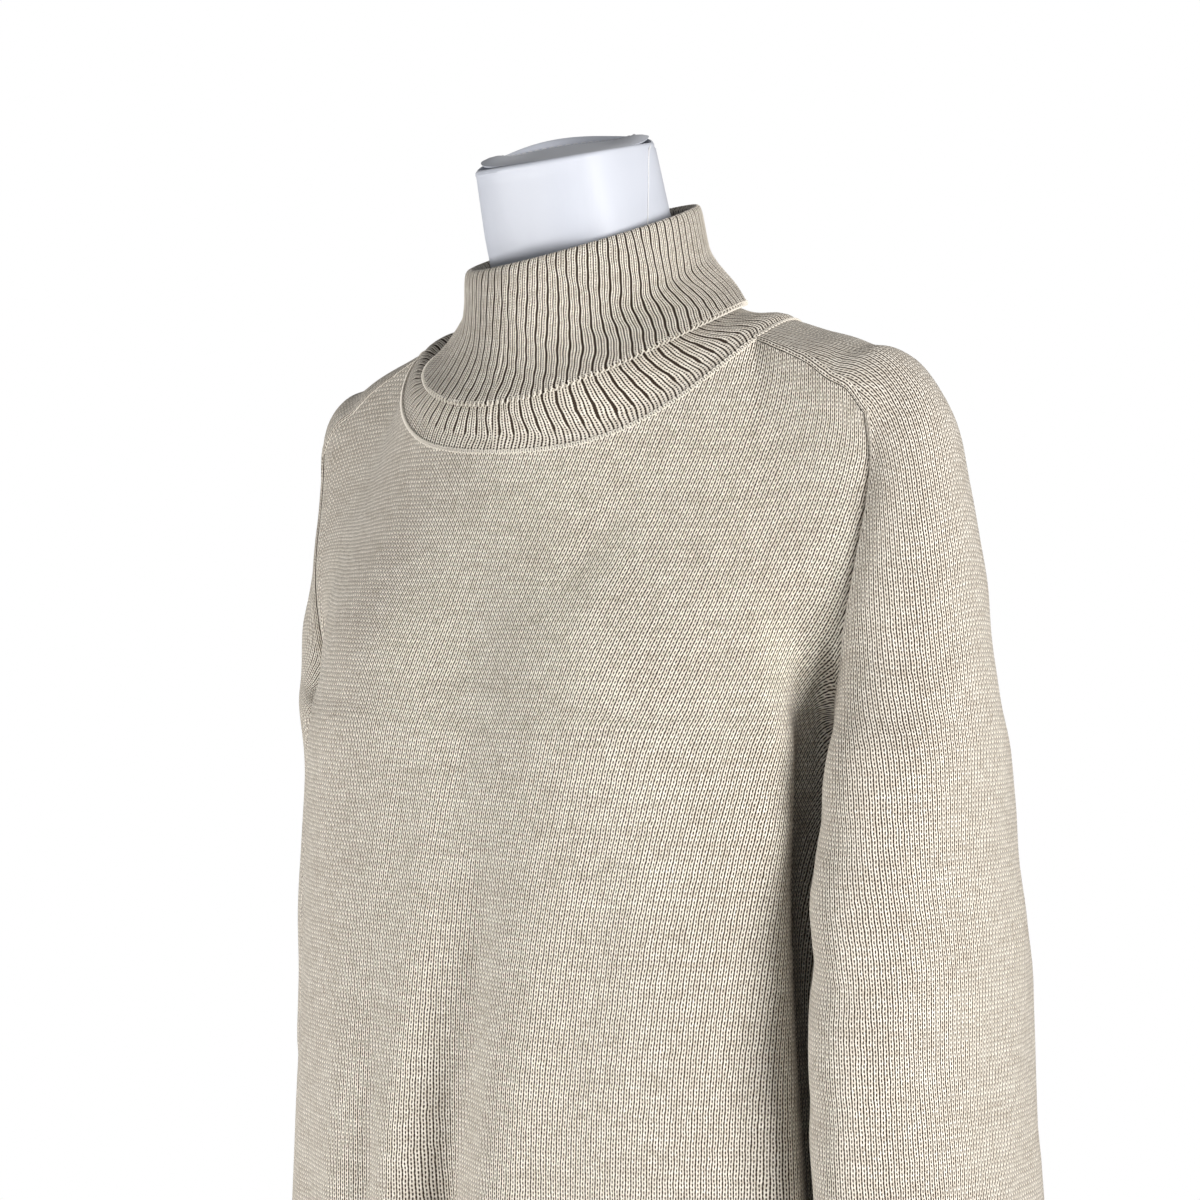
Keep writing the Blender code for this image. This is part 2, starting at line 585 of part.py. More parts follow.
def add_collar(seam, seam_normals):
    """One ribbed band: stand, fold line and folded part, as one closed solid.

    seam is the closed polyline of the neckline seam, starting at the centre front.
    """
    fine_count = 2 * COLLAR_RIBS
    loop = np.concatenate([seam, seam[:1]])
    loop_normals = np.concatenate([seam_normals, seam_normals[:1]])
    steps = np.linalg.norm(np.diff(loop, axis=0), axis=1)
    length = np.concatenate(([0.0], np.cumsum(steps)))
    at = np.arange(fine_count) / fine_count * length[-1]
    base = np.stack([np.interp(at, length, loop[:, axis]) for axis in range(3)], axis=1)
    base_normal = unit(
        np.stack([np.interp(at, length, loop_normals[:, axis]) for axis in range(3)], axis=1)
    )
    relief = np.where(np.arange(fine_count) % 2 == 0, 0.5, -0.5) * RIB_HEIGHT

    outer_stand = [collar_ring(row, even_turns(row, fine_count)) for row in STAND]
    outer_folded = [collar_ring(row, even_turns(row, fine_count)) for row in FOLDED]
    fold_line = collar_ring(FOLD_LINE, even_turns(FOLD_LINE, fine_count))

    def outward(ring, above):
        """Normals of a ring, from its own run and the way up to the next ring."""
        run = np.roll(ring, -1, axis=0) - np.roll(ring, 1, axis=0)
        return unit(np.cross(run, above - ring))

    # Normals of each stretch, from the ring above it.
    stand_path = [base] + outer_stand
    stand_normals = [outward(stand_path[k], stand_path[k + 1]) for k in range(len(stand_path) - 1)]
    folded_path = outer_folded + [fold_line]
    folded_normals = [outward(folded_path[k], folded_path[k + 1]) for k in range(len(folded_path) - 1)]

    # Once round the band's section. Rings out of sight have every second point only.
    shift = unit(outer_stand[0] - base) * HALF_GAP
    hidden = slice(None, None, 2)
    rings = [base + shift, outer_stand[0], outer_stand[1] + stand_normals[2] * relief[:, None]]
    rings += [ring[hidden] for ring in outer_stand[2:]]
    for k in (3, 2, 1, 0):
        rings.append((outer_folded[k] - folded_normals[k] * WALL)[hidden])
    for k in range(len(outer_folded)):
        rings.append(outer_folded[k] + folded_normals[k] * relief[:, None])
    rings.append(fold_line)
    rings.append(collar_ring(FOLD_INSIDE, even_turns(FOLD_INSIDE, COLLAR_RIBS)))
    inside_top = outer_folded[3] - folded_normals[3] * (WALL + LAYER_GAP + WALL)
    rings.append(inside_top[hidden])
    for k in (2, 1, 0):
        rings.append((outer_stand[k] - stand_normals[k + 1] * WALL)[hidden])
    rings.append((base - base_normal * WALL + shift)[hidden])

    points = []
    numbers = []
    for ring in rings:
        numbers.append(list(range(len(points), len(points) + len(ring))))
        points.extend(ring)
    faces = []
    for k in range(len(rings)):
        strip(faces, numbers[k], numbers[(k + 1) % len(rings)])
    return add_object("collar", points, faces, RIB_KNIT)


# ---- the dress form and its stand -------------------------------------------------
def form_ring(row, grow=0.0, lift=0.0):
    angle = np.arange(FORM_SIDES) / FORM_SIDES * 2.0 * np.pi
    power = 2.0 / row.square
    x = (row.half_width + grow) * signed_power(np.sin(angle), power)
    forward = signed_power(np.cos(angle), power)
    depth = np.where(forward > 0, row.front + grow, row.back + grow)
    z = row.z + lift - row.lean * forward * (1.0 + grow / row.front)
    return np.stack([x, row.centre - depth * forward, z], axis=1)


def add_loft(name, rings, finish):
    """A closed solid through rings that all have as many points."""
    points = [point for ring in rings for point in ring]
    size = len(rings[0])
    faces = []
    for k in range(len(rings) - 1):
        strip(faces, list(range(k * size, (k + 1) * size)), list(range((k + 1) * size, (k + 2) * size)))
    for ring, first, turn in ((rings[0], 0, -1), (rings[-1], (len(rings) - 1) * size, 1)):
        middle = len(points)
        points.append(np.mean(ring, axis=0))
        for k in range(size):
            a, b = first + k, first + (k + 1) % size
            faces.append((a, b, middle) if turn > 0 else (b, a, middle))
    return add_object(name, points, faces, finish)


def round_ring(radius, z, sides):
    angle = np.arange(sides) / sides * 2.0 * np.pi
    return np.stack([radius * np.sin(angle), -radius * np.cos(angle), np.full(sides, z)], axis=1)


def add_form():
    add_loft("form_body", [form_ring(row) for row in TORSO], COVER)
    top = TORSO[-1]
    low = PIECE_GAP
    add_loft("neck_cap", [
        form_ring(top, -CAP_INSET, low),
        form_ring(top, 0.0, low + CAP_INSET),
        form_ring(top, 0.0, low + CAP_THICKNESS - CAP_INSET),
        form_ring(top, -CAP_INSET, low + CAP_THICKNESS),
    ], COVER)
    add_loft("stand_pole", [
        round_ring(POLE_RADIUS, BASE_THICKNESS + PIECE_GAP, POLE_SIDES),
        round_ring(POLE_RADIUS, TORSO[0].z - PIECE_GAP, POLE_SIDES),
    ], STEEL)
    add_loft("base_plate", [
        round_ring(BASE_RADIUS, 0.0, BASE_SIDES),
        round_ring(BASE_RADIUS, BASE_THICKNESS - BASE_BEVEL, BASE_SIDES),
        round_ring(BASE_RADIUS - BASE_BEVEL, BASE_THICKNESS, BASE_SIDES),
    ], STEEL)


# ---- the dress ----------------------------------------------------------------------
def reversed_columns(grid):
    return grid[:, ::-1].copy()


def dress_grids():
    """Outer points and outward normals of the four cut pieces, with the body's folds."""
    sleeves = {"left": sleeve_grid(1), "right": sleeve_grid(-1)}
    front, front_shares = panel_grid(-1, sleeves)
    back, back_shares = panel_grid(1, sleeves)
    # The right sleeve's columns run from the back seam, so that its faces point out.
    grids = [front, back, sleeves["left"], reversed_columns(sleeves["right"])]
    normals = shared_normals(grids)
    grids[0] = fold_body(front, normals[0], front_shares, 0.0)
    grids[1] = fold_body(back, normals[1], back_shares, 0.5)
    return grids, shared_normals(grids)


def neckline_seam(grids, normals):
    """The pieces' upper edges joined into one ring, starting at the centre front."""
    neck = slice(STRAP_ROWS, STRAP_ROWS + NECKLINE_COLUMNS + 1)
    points = []
    directions = []
    for source, target in ((grids, points), (normals, directions)):
        front, back, left, right = source
        target.append(front[-1, neck][:-1])
        target.append(left[-1][:-1])
        target.append(back[-1, neck][:-1])
        target.append(right[-1][:-1])
    seam = np.concatenate(points)
    directions = np.concatenate(directions)
    start = NECKLINE_COLUMNS // 2
    return np.roll(seam, -start, axis=0), np.roll(directions, -start, axis=0)


def add_dress():
    grids, normals = dress_grids()
    closed = SLEEVE_TUBE_ROWS + 1
    add_wall("front_panel", grids[0], normals[0], KNIT)
    add_wall("back_panel", grids[1], normals[1], KNIT)
    add_wall("sleeve_left", grids[2], normals[2], KNIT, closed)
    add_wall("sleeve_right", grids[3], normals[3], KNIT, closed)
    add_collar(*neckline_seam(grids, normals))


def clear_scene():
    for thing in list(bpy.data.objects):
        bpy.data.objects.remove(thing, do_unlink=True)


def main():
    clear_scene()
    add_form()
    add_dress()


main()
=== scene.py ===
"""Looks of a fine-knit sweater dress with a ribbed fold-over collar, on a dress form.

Metres, +Z up, +X the wearer's left, -Y the front. The cloth follows its solids'
tables, worked out on a finer grid, with creases of its own, the ribs rounded,
linking stitches along the seams and a procedural knit.
"""
from collections import namedtuple

import bpy
import numpy as np
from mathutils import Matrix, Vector


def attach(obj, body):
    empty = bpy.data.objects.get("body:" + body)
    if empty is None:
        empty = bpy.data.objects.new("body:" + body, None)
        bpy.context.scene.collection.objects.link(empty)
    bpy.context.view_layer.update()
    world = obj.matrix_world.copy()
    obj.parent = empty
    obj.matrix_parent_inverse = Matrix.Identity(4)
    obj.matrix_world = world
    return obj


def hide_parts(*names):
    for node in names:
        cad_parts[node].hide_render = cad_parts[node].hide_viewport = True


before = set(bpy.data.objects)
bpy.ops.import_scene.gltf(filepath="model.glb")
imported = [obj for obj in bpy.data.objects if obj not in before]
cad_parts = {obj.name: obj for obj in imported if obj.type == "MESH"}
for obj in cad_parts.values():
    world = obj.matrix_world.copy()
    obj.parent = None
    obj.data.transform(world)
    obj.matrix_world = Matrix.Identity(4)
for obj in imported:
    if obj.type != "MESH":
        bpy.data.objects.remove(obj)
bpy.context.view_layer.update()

BODY = "root"

# ---- sizes and tables ----
# They are the solids' own, apart from two rows of the body and the collar's sides.
WALL = 0.0022
HALF_GAP = 0.00018
HEM_Z = 0.425
UNDERARM_Z = 1.165

NECK_HALF_WIDTH = 0.124
NECK_FRONT_REACH = 0.100
NECK_BACK_REACH = 0.096
NECK_FRONT_Z = 1.330
NECK_BACK_Z = 1.395
NECK_SIDE_CROWN = 0.038
NECK_CROWN_POWER = 4.0
STRAP_FRONT_TURN = 80.0
STRAP_BACK_TURN = 115.0

PANEL_SKIRT_ROWS = 10
ARMHOLE_ROWS = 8
STRAP_ROWS = 6
NECKLINE_COLUMNS = 28
SLEEVE_COLUMNS = 20
SLEEVE_TUBE_ROWS = 8

BodyRow = namedtuple("BodyRow", "z half_width front back square")
BODY_ROWS = tuple(map(BodyRow._make, (
    (0.425, 0.212, 0.148, 0.140, 2.3),
    (0.600, 0.203, 0.141, 0.134, 2.4),
    (0.800, 0.193, 0.134, 0.127, 2.6),
    (0.900, 0.187, 0.131, 0.122, 2.7),
    (1.000, 0.182, 0.129, 0.118, 2.7),
    (1.100, 0.179, 0.127, 0.114, 2.7),
    (1.165, 0.178, 0.125, 0.111, 2.7),
)))
FRONT_COLUMNS = ((0, 0.0), (6, 0.10), (10, 0.26), (24, 0.60), (34, 0.90), (40, 1.0))
BACK_COLUMNS = ((0, 0.0), (6, 0.10), (34, 0.90), (40, 1.0))
RELAX_ROUNDS = 10
EDGE_REACH = 0.34
STILL_SIDE = 0.035
STILL_TOP = 0.30
CROTCH_NORMAL = -0.99

# turn runs once round the body: 0 right side seam, 0.25 centre front, 0.5 left side
# seam, 0.75 centre back. drift is the change of turn down to the hem. The ridge at
# 0.437 that starts at 1.020, and the last of the forms, are not in the solids.
Fold = namedtuple("Fold", "turn drift z_top z_reach width depth")
FOLDS = tuple(map(Fold._make, (
    (0.238, -0.024, 1.150, 0.300, 0.013, -0.0110),
    (0.280, -0.010, 1.120, 0.280, 0.016, 0.0060),
    (0.303, -0.008, 1.020, 0.250, 0.009, -0.0020),
    (0.207, -0.016, 1.080, 0.220, 0.009, 0.0035),
    (0.187, -0.016, 1.080, 0.240, 0.009, -0.0055),
    (0.160, -0.014, 1.100, 0.260, 0.014, 0.0045),
    (0.120, -0.006, 1.050, 0.300, 0.014, -0.0045),
    (0.345, 0.004, 1.000, 0.350, 0.014, -0.0040),
    (0.390, 0.004, 0.960, 0.350, 0.018, 0.0050),
    (0.437, 0.000, 1.290, 0.180, 0.014, 0.0050),
    (0.437, 0.000, 1.020, 0.140, 0.014, 0.0100),
    (0.468, 0.000, 1.290, 0.160, 0.012, -0.0120),
    (0.486, 0.000, 1.240, 0.060, 0.010, -0.0060),
    (0.500, 0.000, 1.160, 0.050, 0.020, -0.0160),
    (0.514, 0.000, 1.240, 0.060, 0.010, -0.0060),
    (0.545, 0.000, 1.160, 0.100, 0.016, -0.0030),
    (0.585, 0.004, 1.080, 0.250, 0.013, -0.0060),
    (0.625, 0.006, 1.040, 0.300, 0.014, 0.0055),
    (0.672, 0.006, 1.120, 0.300, 0.012, -0.0070),
    (0.705, 0.004, 1.100, 0.300, 0.012, 0.0045),
    (0.748, -0.004, 1.200, 0.350, 0.014, -0.0075),
    (0.793, -0.006, 1.100, 0.300, 0.014, 0.0050),
    (0.832, -0.006, 1.060, 0.300, 0.012, -0.0060),
    (0.872, -0.004, 1.040, 0.280, 0.014, 0.0050),
    (0.915, 0.000, 1.080, 0.250, 0.012, -0.0060),
    (0.950, 0.000, 1.180, 0.080, 0.018, -0.0060),
    (0.986, 0.000, 1.240, 0.060, 0.010, -0.0060),
    (1.000, 0.000, 1.160, 0.050, 0.020, -0.0160),
    (1.014, 0.000, 1.240, 0.060, 0.010, -0.0060),
    (1.032, 0.000, 1.270, 0.160, 0.012, -0.0090),
    (1.063, 0.000, 1.270, 0.180, 0.014, 0.0040),
)))
Form = namedtuple("Form", "turn z turn_spread z_spread push")
FORMS = tuple(map(Form._make, (
    (0.330, 1.215, 0.050, 0.055, 0.0110),
    (0.170, 1.215, 0.050, 0.055, 0.0110),
    (0.250, 1.215, 0.024, 0.050, -0.0030),
    (0.680, 1.270, 0.050, 0.060, 0.0090),
    (0.820, 1.270, 0.050, 0.060, 0.0090),
    (0.475, 1.070, 0.022, 0.100, -0.0170),
)))

SleeveRow = namedtuple("SleeveRow", "z out half_depth half_width sway")
SLEEVE_TUBE = tuple(map(SleeveRow._make, (
    (0.730, 0.2400, 0.0760, 0.0400, 1.20),
    (0.900, 0.2310, 0.0885, 0.0470, 1.10),
    (0.980, 0.2250, 0.0890, 0.0460, 1.05),
    (1.060, 0.2230, 0.0835, 0.0460, 0.95),
    (1.120, 0.2200, 0.0730, 0.0440, 0.82),
    (1.165, 0.2205, 0.0650, 0.0425, 0.56),
)))
Hang = namedtuple("Hang", "swing pull_in fullness")
HANGS = {1: Hang(0.000, 0.000, 1.00), -1: Hang(0.070, 0.022, 0.80)}
HeadRow = namedtuple("HeadRow", "stage front ridge back wrap sway")
SLEEVE_HEAD = (
    HeadRow(0.18, (0.1850, -0.0275, 1.198), (0.2555, 0.004, 1.213), (0.185, 0.038, 1.198), 50.0, 0.64),
    HeadRow(0.40, (0.1930, -0.0320, 1.239), (0.2460, 0.008, 1.268), (0.193, 0.050, 1.239), 30.0, 0.68),
    HeadRow(0.62, (0.1980, -0.0265, 1.280), (0.2365, 0.011, 1.319), (0.197, 0.055, 1.280), 15.0, 0.58),
    HeadRow(0.82, (0.2000, -0.0195, 1.317), (0.2250, 0.013, 1.356), (0.198, 0.057, 1.318), 2.0, 0.36),
    HeadRow(1.00, (0.1975, -0.0200, 1.350), (0.2070, 0.013, 1.3790), (0.194, 0.055, 1.352), -14.0, 0.06),
    HeadRow(1.35, (0.1720, -0.0215, 1.371), (0.1800, 0.012, 1.3895), (0.170, 0.052, 1.372), -35.0, 0.00),
)
UNDERARM_WRAP = 90.0
NECK_WRAP = -50.0

# The stand's second row and the first two rows of the turned-down part hang up to
# about 10 mm lower at the sides than the solid's, and the third one a little higher.
CollarRow = namedtuple("CollarRow", "half_width front back centre z_front z_back crown power lean")
STAND = (
    CollarRow(0.1160, 0.0980, 0.0930, 0.0000, 1.3390, 1.4020, 0.0340, 4.0, 0.0),
    CollarRow(0.0930, 0.0835, 0.0820, -0.0135, 1.3568, 1.4065, 0.0155, 2.0, 0.0068),
    CollarRow(0.0675, 0.0715, 0.0705, -0.0105, 1.3850, 1.4340, 0.0075, 2.0, 0.0010),
    CollarRow(0.0620, 0.0665, 0.0665, -0.0150, 1.4215, 1.4600, 0.0, 2.0, 0.0060),
)
FOLDED = (
    CollarRow(0.0970, 0.0865, 0.0855, -0.0145, 1.3575, 1.4095, 0.0175, 2.0, 0.0065),
    CollarRow(0.0850, 0.0820, 0.0820, -0.0100, 1.3729, 1.4225, 0.0145, 2.0, 0.0058),
    CollarRow(0.0720, 0.0775, 0.0750, -0.0100, 1.3885, 1.4400, 0.0114, 2.0, 0.0032),
    CollarRow(0.0685, 0.0750, 0.0710, -0.0110, 1.4100, 1.4520, 0.0, 2.0, 0.0050),
    CollarRow(0.0665, 0.0705, 0.0705, -0.0150, 1.4300, 1.4665, 0.0, 2.0, 0.0090),
)
FOLD_LINE = CollarRow(0.0640, 0.0680, 0.0680, -0.0150, 1.4350, 1.4707, 0.0, 2.0, 0.0096)
FOLD_INSIDE = CollarRow(0.0610, 0.0650, 0.0645, -0.0150, 1.4327, 1.4682, 0.0, 2.0, 0.0096)
LAYER_GAP = 0.0006
COLLAR_RIBS = 76
RIB_HEIGHT = 0.0012

FormRow = namedtuple("FormRow", "z half_width front back centre lean square")
TORSO = tuple(map(FormRow._make, (
    (0.7200, 0.156, 0.100, 0.104, 0.000, 0.000, 2.2),
    (0.8000, 0.162, 0.106, 0.110, 0.000, 0.000, 2.2),
    (0.8800, 0.152, 0.100, 0.102, 0.000, 0.000, 2.2),
    (0.9800, 0.122, 0.088, 0.086, 0.000, 0.000, 2.2),
    (1.0800, 0.132, 0.097, 0.090, 0.000, 0.000, 2.2),
    (1.1600, 0.144, 0.110, 0.095, 0.000, 0.000, 2.2),
    (1.2100, 0.148, 0.113, 0.097, 0.000, 0.000, 2.2),
    (1.2700, 0.154, 0.097, 0.093, 0.000, 0.000, 2.1),
    (1.3100, 0.168, 0.077, 0.082, 0.002, 0.000, 2.0),
    (1.3400, 0.184, 0.056, 0.064, 0.006, 0.000, 2.0),
    (1.3580, 0.193, 0.040, 0.048, 0.010, 0.000, 2.0),
    (1.3720, 0.194, 0.030, 0.036, 0.012, 0.000, 2.0),
    (1.3800, 0.185, 0.028, 0.032, 0.012, 0.000, 2.0),
    (1.3870, 0.167, 0.029, 0.033, 0.012, 0.000, 2.0),
    (1.3925, 0.146, 0.032, 0.036, 0.011, 0.000, 2.0),
    (1.3975, 0.116, 0.038, 0.041, 0.008, 0.001, 2.0),
    (1.4040, 0.084, 0.044, 0.046, 0.003, 0.004, 2.2),
    (1.4150, 0.064, 0.048, 0.048, -0.002, 0.007, 2.4),
    (1.4350, 0.055, 0.047, 0.047, -0.010, 0.009, 2.6),
    (1.4600, 0.050, 0.046, 0.046, -0.021, 0.009, 2.8),
    (1.4885, 0.0465, 0.0445, 0.0445, -0.0325, 0.0095, 3.0),
)))

# The wearer's right shoulder is carried lower than the left, and the cloth with it.
SHOULDER_DROP = 0.024
DROP_START_X = 0.070
DROP_REACH_X = 0.150
DROP_START_Z = 1.220
DROP_REACH_Z = 0.140

# ---- finer detail of the looks ----
FINER = 6                   # steps of the cloth's fine grid in each step of its solid's
COLLAR_COLUMNS = 8 * COLLAR_RIBS
FORM_COLUMNS = 96
WALE = 0.00295              # width of one knit stitch
COURSE = 0.0025             # height of one knit stitch
RIB_COURSE = 0.0015         # and of one in the ribbed collar
SEAM_WALES = 2.0            # wales of the sleeve that run along its seam
CHEST_SKEW = 0.32           # how far the chest's wales lean to the wearer's left
SKEW_Z = 0.94               # from here up,
SKEW_REACH = 0.26           # with the full lean this much higher
FINE_BAND = 0.0100          # height of the finely ribbed band at the collar's base
BAND_CHANGE = 0.0008        # the change to full ribs takes this much on each side
PIT_ABOVE = 0.0012          # each furrow is deepest this far above the band
PIT_REACH = 0.0014
PIT_WIDTH = 0.16            # in shares of a rib
PIT_DEPTH = 0.2             # in shares of a rib's height
# PIT_OPEN: share of the painted furrow shade that the pits above the fine band get
PIT_OPEN = 0.6
FURROW_WIDTH = 0.08         # of a rib's relief, in shares of a rib
DIP_WIDTH = 0.08
STAND_FINER = 7             # rings of the fine collar in each step of its tables
FOLD_FINER = 8
INSIDE_FINER = 4

# Small creases of the body: soft troughs (negative) or ridges along a short line.
Crease = namedtuple("Crease", "turn z turn_end z_end width depth")
BODY_CREASES = tuple(map(Crease._make, (
    (0.345, 1.300, 0.310, 1.262, 0.011, -0.0022),
    (0.352, 1.270, 0.322, 1.236, 0.012, 0.0014),
    (0.262, 1.180, 0.225, 1.090, 0.012, -0.0016),
    (0.215, 1.160, 0.196, 1.060, 0.012, -0.0018),
    (0.345, 1.130, 0.332, 1.000, 0.014, -0.0014),
    (0.395, 1.235, 0.440, 1.190, 0.014, -0.0024),
    (0.405, 1.190, 0.445, 1.140, 0.012, -0.0018),
    (0.105, 1.235, 0.060, 1.190, 0.014, -0.0024),
    (0.095, 1.185, 0.055, 1.130, 0.012, -0.0018),
    (0.575, 1.250, 0.615, 1.200, 0.014, -0.0022),
    (0.560, 1.190, 0.600, 1.120, 0.013, -0.0018),
    (0.925, 1.250, 0.885, 1.200, 0.014, -0.0022),
    (0.940, 1.190, 0.900, 1.110, 0.013, -0.0018),
    (0.715, 1.330, 0.785, 1.322, 0.010, -0.0012),
    (0.262, 1.110, 0.232, 0.820, 0.017, -0.0095),
    (0.232, 0.900, 0.214, 0.520, 0.017, -0.0085),
    (0.304, 1.080, 0.276, 0.560, 0.016, 0.0040),
    (0.192, 0.960, 0.176, 0.520, 0.013, 0.0020),
)))
# Small creases of the sleeves: share runs from the front seam over the ridge to the
# back seam.
SLEEVE_CREASES = tuple(map(Crease._make, (
    (0.10, 1.135, 0.30, 1.120, 0.011, -0.0026),
    (0.06, 1.095, 0.26, 1.078, 0.010, 0.0016),
    (0.08, 1.060, 0.32, 1.038, 0.011, -0.0022),
    (0.12, 0.985, 0.34, 0.968, 0.012, -0.0018),
    (0.80, 1.130, 0.95, 1.112, 0.011, -0.0024),
    (0.72, 1.050, 0.92, 1.030, 0.012, -0.0022),
    (0.62, 0.960, 0.86, 0.930, 0.013, -0.0020),
    (0.30, 0.900, 0.55, 0.880, 0.014, -0.0020),
    (0.18, 0.850, 0.42, 0.822, 0.012, -0.0024),
    (0.60, 0.840, 0.84, 0.815, 0.012, -0.0022),
)))
RIPPLE = 0.0007             # uneven lie of the knit between the creases
RIPPLE_WAVES = 14
RIPPLE_RATES = (25.0, 90.0)
RIPPLE_SPREAD = 3.0
RIPPLE_SEEDS = (11, 12, 13, 14)     # of the front, the back and the two sleeves
CREASE_FADE = 0.45          # share of a crease's length over which its ends die out
SLEEVE_GIRTH = 0.24         # metres of cloth in a full share of the sleeve creases
STILL_SEAM = 0.12           # creases die out over this share beside a held seam
SEAM_DIP = 0.0007           # the cloth turns in at its seams
SEAM_RISE = 0.0005          # and the sleeve's seam wales stand a little proud
PANEL_SEAM_REACH = 0.0030
SLEEVE_SEAM_REACH = 0.0018

# Loops of yarn along an edge: one loop on each wale, wrapped round the line.
Loops = namedtuple("Loops", "pitch across rise swing beats slant radius")
NECK_CHAIN = Loops(0.0031, 0.00105, 0.00060, 0.00025, 2, 0.30, 0.00042)
BIND_OFF = Loops(0.0034, 0.00130, 0.00040, 0.00130, 1, 0.30, 0.00046)
LOOP_STEPS = 10
THREAD_SIDES = 5
SHARP_ANGLE = 50.0          # degrees between faces that meet in a sharp edge

# The neck's cover is drawn over a rim that is straight where the front shows it, and
# higher at the back. Slopes are along the face's right and away from the face.
FACE_AZIMUTH = 38.0
NECK_CENTRE = (0.0, -0.0325)
RIM_LEVEL = 1.4982
RIM_RIGHT = 0.158
RIM_FRONT = 0.072
RIM_BACK = 0.290
TOP_SLOPE = 0.142
RIM_RADIUS = 0.0505
COVER_FOLDS = ((-8.0, 0.0036), (188.0, 0.0040))    # turn from the face's right, height
FOLD_SPREAD = 24.0
# The rounded rim: share of the neck's own reach, and how far below the rim's level.
RIM_ROUND = (
    (1.000, 0.0030), (0.998, 0.0014), (0.985, 0.0003), (0.965, 0.0), (0.945, 0.0008), (0.93, 0.0030),
)
CAP_UPPER = (0.938, 0.92, 0.88, 0.80, 0.70, 0.55, 0.38, 0.20)
CAP_LOWER = (0.20, 0.55, 0.88, 0.925)
CAP_DEPTH = 0.0016
SEAM_TURNS = (12.0, 31.0)   # of the cover's seam, at the rim and at the collar
SEAM_RADIUS = 0.0006
STITCH_RADIUS = 0.0003
STITCH = 0.0030             # length of one stitch in the cover

# ---- camera and light, from the photograph ----
CAMERA_AZIMUTH = 38.0
CAMERA_ELEVATION = 2.3
CAMERA_DISTANCE = 2.2
TARGET_Z = 1.244
METRES_PER_PIXEL = 0.58e-3  # at the target, in the 1200 pixel frame
IMAGE_PIXELS = 1200
SENSOR = 36.0
FLOOR_RADIUS = 2.6          # a round floor that ends below the camera's view
FLOOR_SIDES = 128

# Soft round lights that face the target; turn is from the camera's azimuth.
Light = namedtuple("Light", "name turn elevation distance size power colour")
LIGHTS = (
    Light("key", 41.0, 6.0, 2.6, 1.0, 78.0, (1.0, 0.98, 0.95)),
    Light("fill", -12.0, 14.0, 3.0, 1.8, 6.0, (0.97, 0.985, 1.0)),
    Light("left", -74.0, -20.0, 2.2, 0.8, 40.0, (1.0, 0.985, 0.96)),
    Light("back", 180.0, 40.0, 3.0, 1.6, 3.0, (1.0, 1.0, 1.0)),
)
SKY_LIGHT = 0.20            # the white sky as the object sees it
SKY_SEEN = 1.0              # and as the camera sees it


# ---- small helpers ----
def smooth_step(value):
    value = np.clip(value, 0.0, 1.0)
    return value * value * (3.0 - 2.0 * value)


def smooth_between(t, values, slopes, span=1):
    """From one value to the next as t goes from 0 to 1, with the given slopes at both ends."""
    start = (1 + 2 * t) * (1 - t) ** 2 * values[0] + t * (1 - t) ** 2 * span * slopes[0]
    end = t * t * (3 - 2 * t) * values[1] - t * t * (1 - t) * span * slopes[1]
    return start + end


def smooth_through(stages, values, at):
    """A smooth curve through the values at rising stages, read at one stage."""
    stages = np.asarray(stages, float)
    values = np.asarray(values, float)
    slopes = np.gradient(values, stages, axis=0)
    index = int(np.clip(np.searchsorted(stages, at) - 1, 0, len(stages) - 2))
    span = stages[index + 1] - stages[index]
    t = (at - stages[index]) / span
    return smooth_between(t, values[index:index + 2], slopes[index:index + 2], span)


def lengths(points):
    steps = np.linalg.norm(np.diff(points, axis=0), axis=1)
    return np.concatenate(([0.0], np.cumsum(steps)))


def read_line(at, length, points):
    """Points of a line at some lengths along it; length holds that of each given point."""
    return np.stack([np.interp(at, length, points[:, axis]) for axis in range(3)], axis=1)


def closed_line(ring):
    return np.concatenate([ring, ring[:1]])


def along(points, shares):
    """Points at the given shares of a polyline's length."""
    length = lengths(points)
    length /= length[-1]
    return read_line(shares, length, points)


def signed_power(value, power):
    return np.sign(value) * np.abs(value) ** power


def unit(vectors):
    return vectors / np.maximum(np.linalg.norm(vectors, axis=-1, keepdims=True), 1e-12)


def ring_height(turn, z_front, z_back, crown, power, lean=0.0):
    tilt = 0.5 * (z_back - z_front) * (1.0 - np.cos(turn))
    return z_front + tilt + crown * np.abs(np.sin(turn)) ** power + lean * np.sin(turn)


def oval_ring(turn, half_width, front, back, centre):
    depth = np.where(np.cos(turn) > 0, front, back)
    return half_width * np.sin(turn), centre - depth * np.cos(turn)


def refine_line(values, factor, breaks=(), closed=False):
    """Put smooth steps between the values; the line may bend sharply at the breaks."""
    stops = [0, *breaks, len(values) - 1]
    t = (np.arange(factor) / factor).reshape((factor,) + (1,) * (values.ndim - 1))
    parts = []
    for first, last in zip(stops[:-1], stops[1:]):
        piece = values[first:last + 1]
        slopes = np.gradient(piece, axis=0)
        if closed:
            slopes[0] = slopes[-1] = 0.5 * (piece[1] - piece[-2])
        for k in range(len(piece) - 1):
            parts.append(smooth_between(t, piece[k:k + 2], slopes[k:k + 2]))
    parts.append(values[-1:])
    return np.concatenate(parts)


def refine_grid(grid, factor, top_breaks=(), side_breaks=(), closed_rows=0):
    rows = []
    for index, row in enumerate(grid):
        breaks = top_breaks if index == len(grid) - 1 else ()
        rows.append(refine_line(row, factor, breaks, index < closed_rows))
    wide = np.array(rows)
    fine = refine_line(wide, factor)
    for edge in (0, -1):
        fine[:, edge] = refine_line(wide[:, edge], factor, side_breaks)
    return fine


